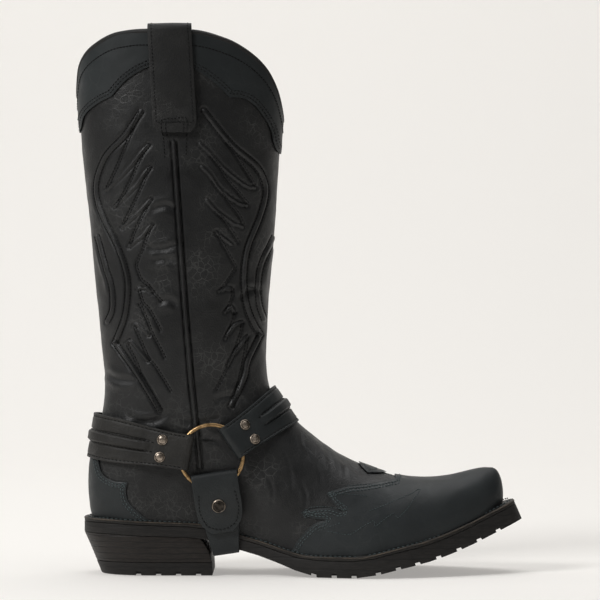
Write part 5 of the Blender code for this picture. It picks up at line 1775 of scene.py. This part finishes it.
@dataclass
class Harness:
    """Straps, rings, rivets and studs."""

    shop: Workshop
    ring_sides: int = 96
    wire_sides: int = 14
    strap_wall: float = 0.0022
    strap_width: float = 0.031
    ring_width: float = 0.0245
    flare_end: float = 0.075
    return_end: float = 0.042
    ridge: float = 0.0016
    ridge_start: float = 0.041
    across_steps: int = 49
    free_run: float = 0.010
    easing: int = 24

    def envelope(self, plan: StrapPlan, frame: StrapFrame) -> np.ndarray:
        """Smoothed outer line of a strap's solid, from one ring to the other.

        Args:
            plan: the strap.
            frame: its frame.

        Returns:
            Rows of reach and Y.
        """
        corners = [v.co.copy() for v in self.shop.nodes[plan.node].data.vertices]
        found = Projector([])
        found.trees.append(BVHTree.FromPolygons(corners, [
            tuple(p.vertices) for p in self.shop.nodes[plan.node].data.polygons]))
        rows = []
        for angle in np.radians(np.arange(-150.0, 150.1, 0.5)):
            start = frame.place(plan.core + math.cos(angle) * 0.2, math.sin(angle) * 0.2, 0.0072)
            aim = (frame.place(plan.core, 0.0, 0.0072) - start).normalized()
            hit = found.cast(start, aim)
            if hit is not None and hit[0].y * start.y >= 0.0 and frame.reach_of(hit[0]) > 0.0195:
                rows.append((frame.reach_of(hit[0]), hit[0].y))
        line = np.array(rows)
        reach = np.concatenate([[0.0], np.cumsum(np.linalg.norm(np.diff(line, axis=0), axis=1))])
        even = np.arange(0.0, reach[-1], 0.0010)
        line = np.column_stack([np.interp(even, reach, line[:, k]) for k in (0, 1)])
        ends = line[:1], line[-1:]
        for _ in range(14):
            line[1:-1] = (line[:-2] + 2.0 * line[1:-1] + line[2:]) / 4.0
        return np.concatenate([ends[0], line[1:-1], ends[1]])

    def turned_back(self, outer: np.ndarray, fold: float, radius: float,
                    sign: float) -> np.ndarray:
        """A strap's end, from under its outer layer to the far side of a ring.

        Args:
            outer: the outer layer, from the ring on.
            fold: reach of the ring's wire.
            radius: half the distance between the layers at the wire.
            sign: which side of the boot the ring is on.

        Returns:
            Rows of reach and Y.
        """
        near = outer[:60]
        plane = abs(float(near[0, 1])) - radius
        rows = []
        for reach in np.linspace(self.return_end, fold, 14)[:-1]:
            close = float(smooth(fold, fold + self.free_run, np.array(reach)))
            gap = 2.0 * radius + (self.strap_wall - 2.0 * radius) * close
            rows.append((reach, float(np.interp(reach, near[:, 0], near[:, 1])) - sign * gap))
        for k in range(13):
            angle = math.pi * (1.0 - k / 12.0)
            rows.append((fold - radius * math.sin(angle),
                         sign * (plane + radius * math.cos(angle))))
        return np.array(rows)

    def eased(self, line: np.ndarray) -> np.ndarray:
        """Even, eased points between the ends of a line, without its ends."""
        reach = np.concatenate([[0.0], np.cumsum(np.linalg.norm(np.diff(line, axis=0), axis=1))])
        even = np.arange(0.0, reach[-1], 0.0010)
        line = np.column_stack([np.interp(even, reach, line[:, k]) for k in (0, 1)])
        for _ in range(self.easing):
            line[1:-1] = (line[:-2] + 2.0 * line[1:-1] + line[2:]) / 4.0
        return line[1:-1]

    def strap(self, plan: StrapPlan, frame: StrapFrame) -> bpy.types.Object:
        """One strap with its ends turned round the rings and back under it.

        Args:
            plan: the strap.
            frame: its frame.

        Returns:
            The strap's leather.
        """
        outer = self.envelope(plan, frame)
        half = self.strap_wall / 2.0
        run = np.gradient(outer, axis=0)
        run /= np.linalg.norm(run, axis=1, keepdims=True)
        middle = outer + np.column_stack([-run[:, 1], run[:, 0]]) * half
        lowest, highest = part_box("ring_outer")
        plane = -(Vector(lowest).y + Vector(highest).y) / 2.0
        radius = (Vector(highest).y - Vector(lowest).y) / 2.0 + 0.0003 + half
        major = (Vector(highest).x - Vector(lowest).x) / 2.0 - (
            Vector(highest).y - Vector(lowest).y) / 2.0
        fold = math.sqrt(major ** 2 - (self.ring_width / 2.0) ** 2)
        around = middle[middle[:, 0] > fold + self.free_run]
        tips = np.array([[fold, -(plane + radius)], [fold, plane + radius]])
        around = self.eased(np.concatenate([tips[:1], around, tips[1:]]))
        side = self.turned_back(around, fold, radius, -1.0)
        other = self.turned_back(around[::-1], fold, radius, 1.0)[::-1]
        path = np.concatenate([side, around, other])
        on_boot = np.zeros(len(path), dtype=bool)
        on_boot[len(side):len(path) - len(other)] = True
        run = np.gradient(path, axis=0)
        run /= np.linalg.norm(run, axis=1, keepdims=True)
        normal = np.column_stack([run[:, 1], -run[:, 0]])
        share = np.linspace(-0.5, 0.5, self.across_steps)
        bump = smooth(0.125, 0.085, np.abs(share))
        furrow = np.exp(-((np.abs(share) - 0.142) / 0.016) ** 2)
        border = np.exp(-((np.abs(share) - 0.43) / 0.018) ** 2)
        sheet = np.zeros((len(path), self.across_steps, 3))
        lift = np.zeros((len(path), self.across_steps))
        for i, (reach, y) in enumerate(path):
            flare = float(smooth(0.024, self.flare_end, np.array(reach)))
            width = self.ring_width + (self.strap_width - self.ring_width) * flare
            ridged = float(smooth(self.ridge_start, self.ridge_start + 0.006,
                                  np.array(reach))) * on_boot[i]
            lift[i] = ridged * (self.ridge * bump - 0.0011 * furrow) - (
                0.0006 * border * on_boot[i])
            sheet[i] = [tuple(frame.place(reach, y, width * s)) for s in share]
        place = frame.place(0.0, 0.0, 0.0)
        outward = np.zeros_like(sheet)
        for i in range(len(path)):
            tip = frame.place(float(normal[i, 0]), float(normal[i, 1]), 0.0) - place
            outward[i] = tuple(tip)
        lift = lift + 0.0002 * undulation(sheet, 0.013, 3)
        face = sheet + outward * (half + lift)[..., None]
        back = sheet - outward * (half - np.clip(lift, 0.0, None))[..., None]
        vertices, faces = slab(face, back, False)
        made = mesh_object(plan.node + "_leather", vertices, faces,
                           [self.shop.finish[plan.finish]])
        turn_out(made)
        bevelled(made, 0.0005, 50.0)
        evaluated(made)
        made.data.shade_smooth()
        made.data.set_sharp_from_angle(angle=math.radians(50.0))
        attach(made, "boot")
        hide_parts(plan.node)
        runs = []
        start = len(side) + 2
        for at in plan.rows:
            k = int(round((at + 0.5) * (self.across_steps - 1)))
            keep = [i for i in range(start, len(path) - start) if abs(at) > 0.3
                    or path[i, 0] > self.ridge_start]
            line = face[keep, k] + outward[keep, k] * 0.0001
            gaps = np.linalg.norm(np.diff(line, axis=0), axis=1)
            for part in np.split(line, np.nonzero(gaps > 0.004)[0] + 1):
                runs.append([Vector(point) for point in part])
        self.shop.stitches(plan.node + "_stitches", runs, plan.thread, 0.0030, 0.00038)
        return made

    def build(self) -> None:
        """Makes every piece of the harness."""
        lowest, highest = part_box("ring_outer")
        centre = (Vector(lowest) + Vector(highest)) / 2.0
        middle = Vector((centre.x, 0.0, centre.z))
        straps = []
        for plan in STRAPS:
            strap = self.strap(plan, StrapFrame(middle, plan.rise))
            straps.append(strap)
            LOG.info("%s: %d faces", strap.name, len(strap.data.polygons))
        tab = self.shop.softened("under_strap", "under_strap_leather", "cool_strap", 0.0005, 2)
        frame = StrapFrame(middle, TAB_RISE)
        found = Projector([tab])
        under = Projector(straps + [tab])
        edge = [(0.026, -0.0125), (0.036, -0.0135), (0.043, -0.0118), (0.0480, -0.0085),
                (0.0508, 0.0), (0.0480, 0.0085), (0.043, 0.0118), (0.036, 0.0135), (0.026, 0.0125)]
        line = [frame.place(reach, 0.0, across) for reach, across in edge]
        drawn = smooth_line([(point.x, point.z) for point in line], 8)
        runs = [run for side in Side for run in found.side_line(drawn, side, 0.0002)]
        self.shop.stitches("tab_stitches", runs, "thread", 0.0026)
        for side in Side:
            name = "ring_" + side.name.lower()
            self.ring(name, side)
            for strap in ("back", "front"):
                for level in ("upper", "lower"):
                    head = self.shop.turned("{}_rivet_{}_{}".format(
                        strap, side.name.lower(), level), RIVET_PROFILE, ("pewter", "dark_cap"),
                        under, 0.015)
            head = self.shop.turned("stud_" + side.name.lower(), STUD_PROFILE,
                                    ("pewter", "dark_cap"), under)
        LOG.info("harness: straps, rings and heads")

    def ring(self, node: str, side: Side) -> None:
        """Smooth ring in place of its faceted solid."""
        lowest, highest = (Vector(corner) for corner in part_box(node))
        centre = (lowest + highest) / 2.0
        wire = (highest.y - lowest.y) / 2.0
        radius = (highest.x - lowest.x) / 2.0 - wire
        points = np.zeros((self.ring_sides, self.wire_sides, 3))
        for i in range(self.ring_sides):
            turn = 2.0 * math.pi * i / self.ring_sides
            for k in range(self.wire_sides):
                angle = 2.0 * math.pi * k / self.wire_sides
                reach = radius + wire * math.cos(angle)
                points[i, k] = (centre.x + reach * math.cos(turn),
                                centre.y + wire * math.sin(angle),
                                centre.z + reach * math.sin(turn))
        count = self.ring_sides * self.wire_sides
        faces = grid_quads(self.ring_sides + 1, self.wire_sides, True) % count
        made = mesh_object(node + "_wire", points, faces, [self.shop.finish["brass"]])
        turn_out(made)
        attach(made, side.name.lower() + "_ring")
        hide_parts(node)


@dataclass
class PullStraps:
    """Folded straps over the collar, with their stitched boxes."""

    shop: Workshop
    width: float = 0.030
    forward: float = 0.200
    lean: float = 0.0040
    drop: float = 0.070
    inside_drop: float = 0.032
    loop_rise: float = 0.004
    wall: float = 0.0018
    columns: int = 25

    def rows(self, upper: Upper) -> List[Tuple[float, float, float]]:
        """Height, offset and share of the width of each row, from the outer end on."""
        rim = self.shop.form.collar_height
        out = 2.0 * upper.clearance + upper.overlay_wall + self.wall / 2.0
        into = -(upper.wall + upper.clearance + self.wall / 2.0)
        found = []
        for k in range(61):
            rise = self.drop * (k / 60.0) ** 1.6
            corner = float(end_round(np.array(rise + self.shop.form.edge_flat),
                                     self.width / 3.0, 2.0))
            found.append((rim - self.drop + rise, out, 0.5 + 0.5 * corner))
        for k in range(1, 16):
            angle = math.pi * k / 16
            found.append((rim + self.loop_rise * math.sin(angle),
                          (out + into) / 2.0 + (out - into) / 2.0 * math.cos(angle), 1.0))
        for k in range(12):
            found.append((rim - self.inside_drop * k / 11.0, into, 1.0))
        return found

    def build(self, upper: Upper, surface: Projector) -> None:
        """Makes both straps and sews them.

        Args:
            upper: the upper, for its thicknesses.
            surface: finds the leather below the straps.
        """
        form = self.shop.form
        rim = form.collar_height
        rows = self.rows(upper)
        edge_runs = []
        box_runs = []
        box = [[(165, 157), (163.5, 138), (161.5, 121), (174, 119.6), (187.3, 119), (187, 136),
                (186, 156)], [(167.5, 136), (166, 124), (175, 123), (184, 122.6), (183.5, 134)]]
        for side in Side:
            across = np.linspace(-0.5, 0.5, self.columns)[::int(-side.value)]
            sheet = np.zeros((len(rows), self.columns, 3))
            for i, (z, offset, share) in enumerate(rows):
                lean = self.lean * max(rim - z, 0.0) / self.drop * (offset > 0.0)
                x = form.forward_x(self.forward) + lean + across * self.width * share
                depth = form.half_width(x, np.full(x.shape, min(z, rim)), side) + offset
                sheet[i] = np.column_stack([x, side.value * depth, np.full(x.shape, z)])
            normals = grid_normals(sheet, False)
            sheet = sheet + normals * (0.00025 * undulation(sheet, 0.016, 11))[..., None]
            vertices, faces = slab(sheet + normals * self.wall / 2.0,
                                   sheet - normals * self.wall / 2.0, False)
            name = "pull_strap_" + side.name.lower()
            made = mesh_object(name + "_leather", vertices, faces, [self.shop.finish["pull"]])
            bevelled(made, 0.0004, 50.0)
            evaluated(made)
            made.data.set_sharp_from_angle(angle=math.radians(55.0))
            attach(made, "boot")
            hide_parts(name)
            face = sheet + normals * (self.wall / 2.0 + 0.00015)
            low, top = 14, len(rows) - 18
            left = face[low:top, 2]
            right = face[low:top, self.columns - 3]
            loop = np.concatenate([left[::-1], face[low, 2:self.columns - 2], right])
            edge_runs.append([Vector(point) for point in loop])
            found = Projector([made])
            found.trees += surface.trees
            for pixels in box:
                line = VIEW.line(smooth_line(pixels, 2))
                if side is Side.INNER:
                    middle = float(form.forward_x(self.forward)) + self.lean
                    line[:, 0] = 2.0 * middle - line[:, 0]
                box_runs += found.side_line(line, side, 0.0002)
        self.shop.stitches("pull_strap_edge_stitches", edge_runs, "thread", 0.0024, 0.00034)
        self.shop.stitches("pull_strap_box_stitches", box_runs, "thread", 0.0024, 0.00040)
        LOG.info("pull straps: %d rows", len(rows))


@dataclass
class SidePiping:
    """Rounded cord down each side seam."""

    shop: Workshop
    width: float = 0.0028
    height: float = 0.0019
    rows: int = 150
    columns: int = 9

    def build(self) -> None:
        """Makes the piping on both sides."""
        form = self.shop.form
        heights = np.linspace(PIPING_LINE.keys[0], PIPING_LINE.keys[-1], self.rows)
        for side in Side:
            outer = np.zeros((self.rows, self.columns, 3))
            inner = np.zeros((self.rows, self.columns, 3))
            across = np.linspace(-0.5, 0.5, self.columns)[::int(-side.value)]
            for i, height in enumerate(heights):
                x = form.forward_x(PIPING_LINE.at("forward", height))
                z = form.real_height(x, height)
                at = x + across * self.width
                depth = form.half_width(at, np.full(at.shape, float(z)), side)
                crown = self.height * np.sqrt(np.clip(1.0 - (2.0 * across) ** 2 * 0.97, 0.0, 1.0))
                level = np.full(at.shape, float(z))
                outer[i] = np.column_stack([at, side.value * (depth + crown), level])
                inner[i] = np.column_stack([at, side.value * (depth - 0.0006), level])
            vertices, faces = slab(outer, inner, False)
            name = "side_piping_" + side.name.lower()
            made = mesh_object(name + "_cord", vertices, faces, [self.shop.finish["upper"]])
            made.data.set_sharp_from_angle(angle=math.radians(60.0))
            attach(made, "boot")
            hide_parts(name)


@dataclass
class SoleUnit:
    """Insole, welt, outsole and heel."""

    shop: Workshop
    stations: int = 180

    def edge_loop(self, depth: float, inset: float) -> np.ndarray:
        """Line round the sole's edge, down the outer side and back up the inner."""
        share = (1.0 - np.cos(np.linspace(0.0, math.pi, self.stations))) / 2.0
        form = self.shop.form
        return np.concatenate([form.sole_edge(share, Side.OUTER, depth, inset),
                               form.sole_edge(share, Side.INNER, depth, inset)[::-1]])

    def build(self) -> None:
        """Softens the solids, and adds the welt's worn edge and its stitches."""
        parts = (("welt", "welt", 0.0005, "welt"), ("outsole", "sole", 0.0005, "sole_rubber"),
                 ("heel_stack", "heel", 0.0004, "heel_leather"),
                 ("heel_cap", "sole", 0.0006, "sole_rubber"))
        for node, finish, bevel, slot in parts:
            made = self.shop.softened(node, node + "_edge_softened", finish, bevel)
        self.heel_core()
        insole = self.shop.nodes["insole"]
        for slot in insole.material_slots:
            slot.material = self.shop.finish["insole"]
        vertices, faces = tube(self.edge_loop(0.0006, 0.0), (0.0004, 0.0004), 8, True)
        bead = mesh_object("welt_worn_edge", vertices, faces, [self.shop.finish["bead"]])
        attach(bead, "boot")
        row = self.edge_loop(-0.0002, 0.0024)
        runs = [[Vector(point) for point in half] for half in
                (row[6:self.stations - 6], row[self.stations + 6:-6])]
        self.shop.stitches("welt_stitches", runs, "cool_thread", 0.0034, 0.0005)


    def heel_core(self) -> None:
        """Dark core inside the heel cap, so that light doesn't pass through its grooves."""
        shape = bmesh.new()
        low, high, inset = 0.0009, 0.0045, 0.95
        lowest, highest = (Vector(corner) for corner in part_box("heel_cap"))
        middle = (lowest + highest) / 2.0
        for vertex in self.shop.nodes["heel_cap"].data.vertices:
            if vertex.co.z < low:
                for level in (low, high):
                    shape.verts.new((middle.x + (vertex.co.x - middle.x) * inset,
                                     middle.y + (vertex.co.y - middle.y) * inset, level))
        bmesh.ops.convex_hull(shape, input=shape.verts)
        loose = [vertex for vertex in shape.verts if not vertex.link_faces]
        bmesh.ops.delete(shape, geom=loose, context="VERTS")
        mesh = bpy.data.meshes.new("heel_cap_core")
        shape.to_mesh(mesh)
        shape.free()
        mesh.materials.append(self.shop.finish["edge"])
        core = linked("heel_cap_core", mesh)
        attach(core, "boot")


def build_binding(shop: Workshop, upper: Upper) -> None:
    """Rolled leather binding over the collar's rim.

    Args:
        shop: the shared workshop.
        upper: the skin whose rim it covers.
    """
    turns = np.linspace(0.0, 2.0, 420, endpoint=False)
    rows = shop.form.surface(np.array([0.992, 1.0]), turns)
    outward = grid_normals(rows, True)[1]
    total = upper.wall + upper.clearance + upper.overlay_wall
    middle = rows[1] + outward * (total / 2.0 - upper.wall)
    middle[:, 2] -= 0.0009
    vertices, faces = tube(middle, (total / 2.0 + 0.0004, 0.0021), 14, True)
    made = mesh_object("collar_binding", vertices, faces, [shop.finish["edge"]])
    turn_out(made)
    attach(made, "boot")
    lift = upper.clearance + upper.overlay_wall + 0.0001
    row = upper.skin(np.array([0.9780, 0.9815, 0.9850]), 420, lift, (Mark.CREASE,))[1]
    run = [Vector(point) for point in row]
    shop.stitches("binding_stitches", [run + run[:1]], "dark_thread_and_shade", 0.0024, 0.00042, 0.9)


def build_stage() -> None:
    """Pale floor that curves up into a backdrop, soft lights and the camera."""
    rows = [(-0.7, 0.0), (1.2, 0.0)]
    for k in range(1, 13):
        angle = math.pi / 2.0 * k / 12
        rows.append((1.2 + 0.6 * math.sin(angle), 0.6 - 0.6 * math.cos(angle)))
    rows.append((1.8, 3.0))
    points = np.array([[(x, y, z - 0.0004) for x in (-3.0, 3.0)] for y, z in rows])
    floor = mesh_object("backdrop", points, grid_quads(len(rows), 2, False)[:, ::-1], [])
    paper = bpy.data.materials.new("backdrop_paper")
    paper.use_nodes = True
    shader = paper.node_tree.nodes["Principled BSDF"]
    shader.inputs["Base Color"].default_value = (0.60, 0.588, 0.565, 1.0)
    shader.inputs["Roughness"].default_value = 0.9
    shader.inputs["Specular IOR Level"].default_value = 0.0
    shader.inputs["Emission Color"].default_value = (1.0, 0.965, 0.925, 1.0)
    tree = NodeTree(paper.node_tree)
    place = tree.add("ShaderNodeTexCoord")
    split = tree.add("ShaderNodeSeparateXYZ", {"Vector": place.outputs["Object"]})
    depth = tree.add("ShaderNodeMapRange", {"Value": split.outputs["Y"], "From Min": 0.15,
                                            "From Max": 1.7, "To Min": 0.34, "To Max": 0.40},
                     interpolation_type="SMOOTHSTEP")
    tree.tree.links.new(depth.outputs["Result"], shader.inputs["Emission Strength"])
    floor.data.materials.append(paper)
    world = bpy.data.worlds.new("soft_room")
    world.use_nodes = True
    world.node_tree.nodes["Background"].inputs["Color"].default_value = (1.0, 0.99, 0.98, 1.0)
    world.node_tree.nodes["Background"].inputs["Strength"].default_value = 0.07
    bpy.context.scene.world = world
    for name, place, size, power in (("key", (-1.5, -1.2, 1.6), 0.8, 34.0),
                                     ("fill", (1.5, -1.6, 1.3), 1.0, 2.0),
                                     ("top", (0.1, 0.3, 2.2), 1.6, 24.0),
                                     ("rim", (-1.3, 0.9, 1.0), 0.7, 2.5)):
        lamp = bpy.data.lights.new(name, "AREA")
        lamp.energy = power
        lamp.size = size
        made = bpy.data.objects.new(name, lamp)
        bpy.context.scene.collection.objects.link(made)
        made.location = place
        aim = Vector((0.0, 0.0, 0.16)) - Vector(place)
        made.rotation_euler = aim.to_track_quat("-Z", "Y").to_euler()
    lens = bpy.data.cameras.new("camera")
    lens.sensor_width = 36.0
    lens.lens = VIEW.focal_px / 600.0 * lens.sensor_width
    camera = bpy.data.objects.new("camera", lens)
    bpy.context.scene.collection.objects.link(camera)
    lower = (300.0 - VIEW.centre_px[1]) * VIEW.distance / VIEW.focal_px
    camera.location = (VIEW.centre_x, -VIEW.distance, VIEW.height - lower)
    camera.rotation_euler = (math.pi / 2.0, 0.0, 0.0)
    bpy.context.scene.camera = camera
    bpy.context.scene.view_settings.view_transform = "Standard"


def main() -> None:
    """Builds the pieces in order and reports each."""
    logging.basicConfig(level=logging.INFO, format="%(name)s: %(message)s")
    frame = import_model()
    build_stage()
    shop = Workshop(frame)
    upper = Upper(shop)
    skins = upper.build()
    overlays = build_overlays(shop, upper)
    layers = skins + [bpy.data.objects[overlay.name] for overlay in overlays]
    surface = Projector(layers)
    for overlay, thread, insets in zip(overlays, ("thread", "cool_thread", "cool_thread"),
                                       ((0.0021, 0.0042), (0.0019, 0.0036), (0.0019, 0.0036))):
        runs = [run for row in overlay.rows(insets) for side in Side
                for run in surface.side_line(row, side, 0.0001)]
        shop.stitches(overlay.name + "_stitches", runs, thread, 0.0026)
    runs = [run for row in shop.rows["shaft"] for side in Side
            for run in surface.side_line(row, side, 0.00015)]
    shop.stitches("shaft_stitches", runs, "thread", 0.0023, 0.00040, 0.8)
    # Nearly continuous dark stitches flush in the grooves beside the cords: a stitch row and painted
    # shade of each groove
    runs = [run for row in shop.rows["panel"] for side in Side
            for run in surface.side_line(row, side, 0.0)]
    shop.stitches("panel_stitches", runs, "dark_thread_and_shade", 0.0022, 0.00042, 0.95)
    runs = [run for row in shop.rows["wing"] for side in Side
            for run in surface.side_line(row, side, 0.0001)]
    shop.stitches("wing_scroll_stitches", runs, "cool_thread", 0.0019, 0.00026, 0.86)
    build_binding(shop, upper)
    PullStraps(shop).build(upper, surface)
    SidePiping(shop).build()
    SoleUnit(shop).build()
    Harness(shop).build()


if __name__ == "__main__":
    main()
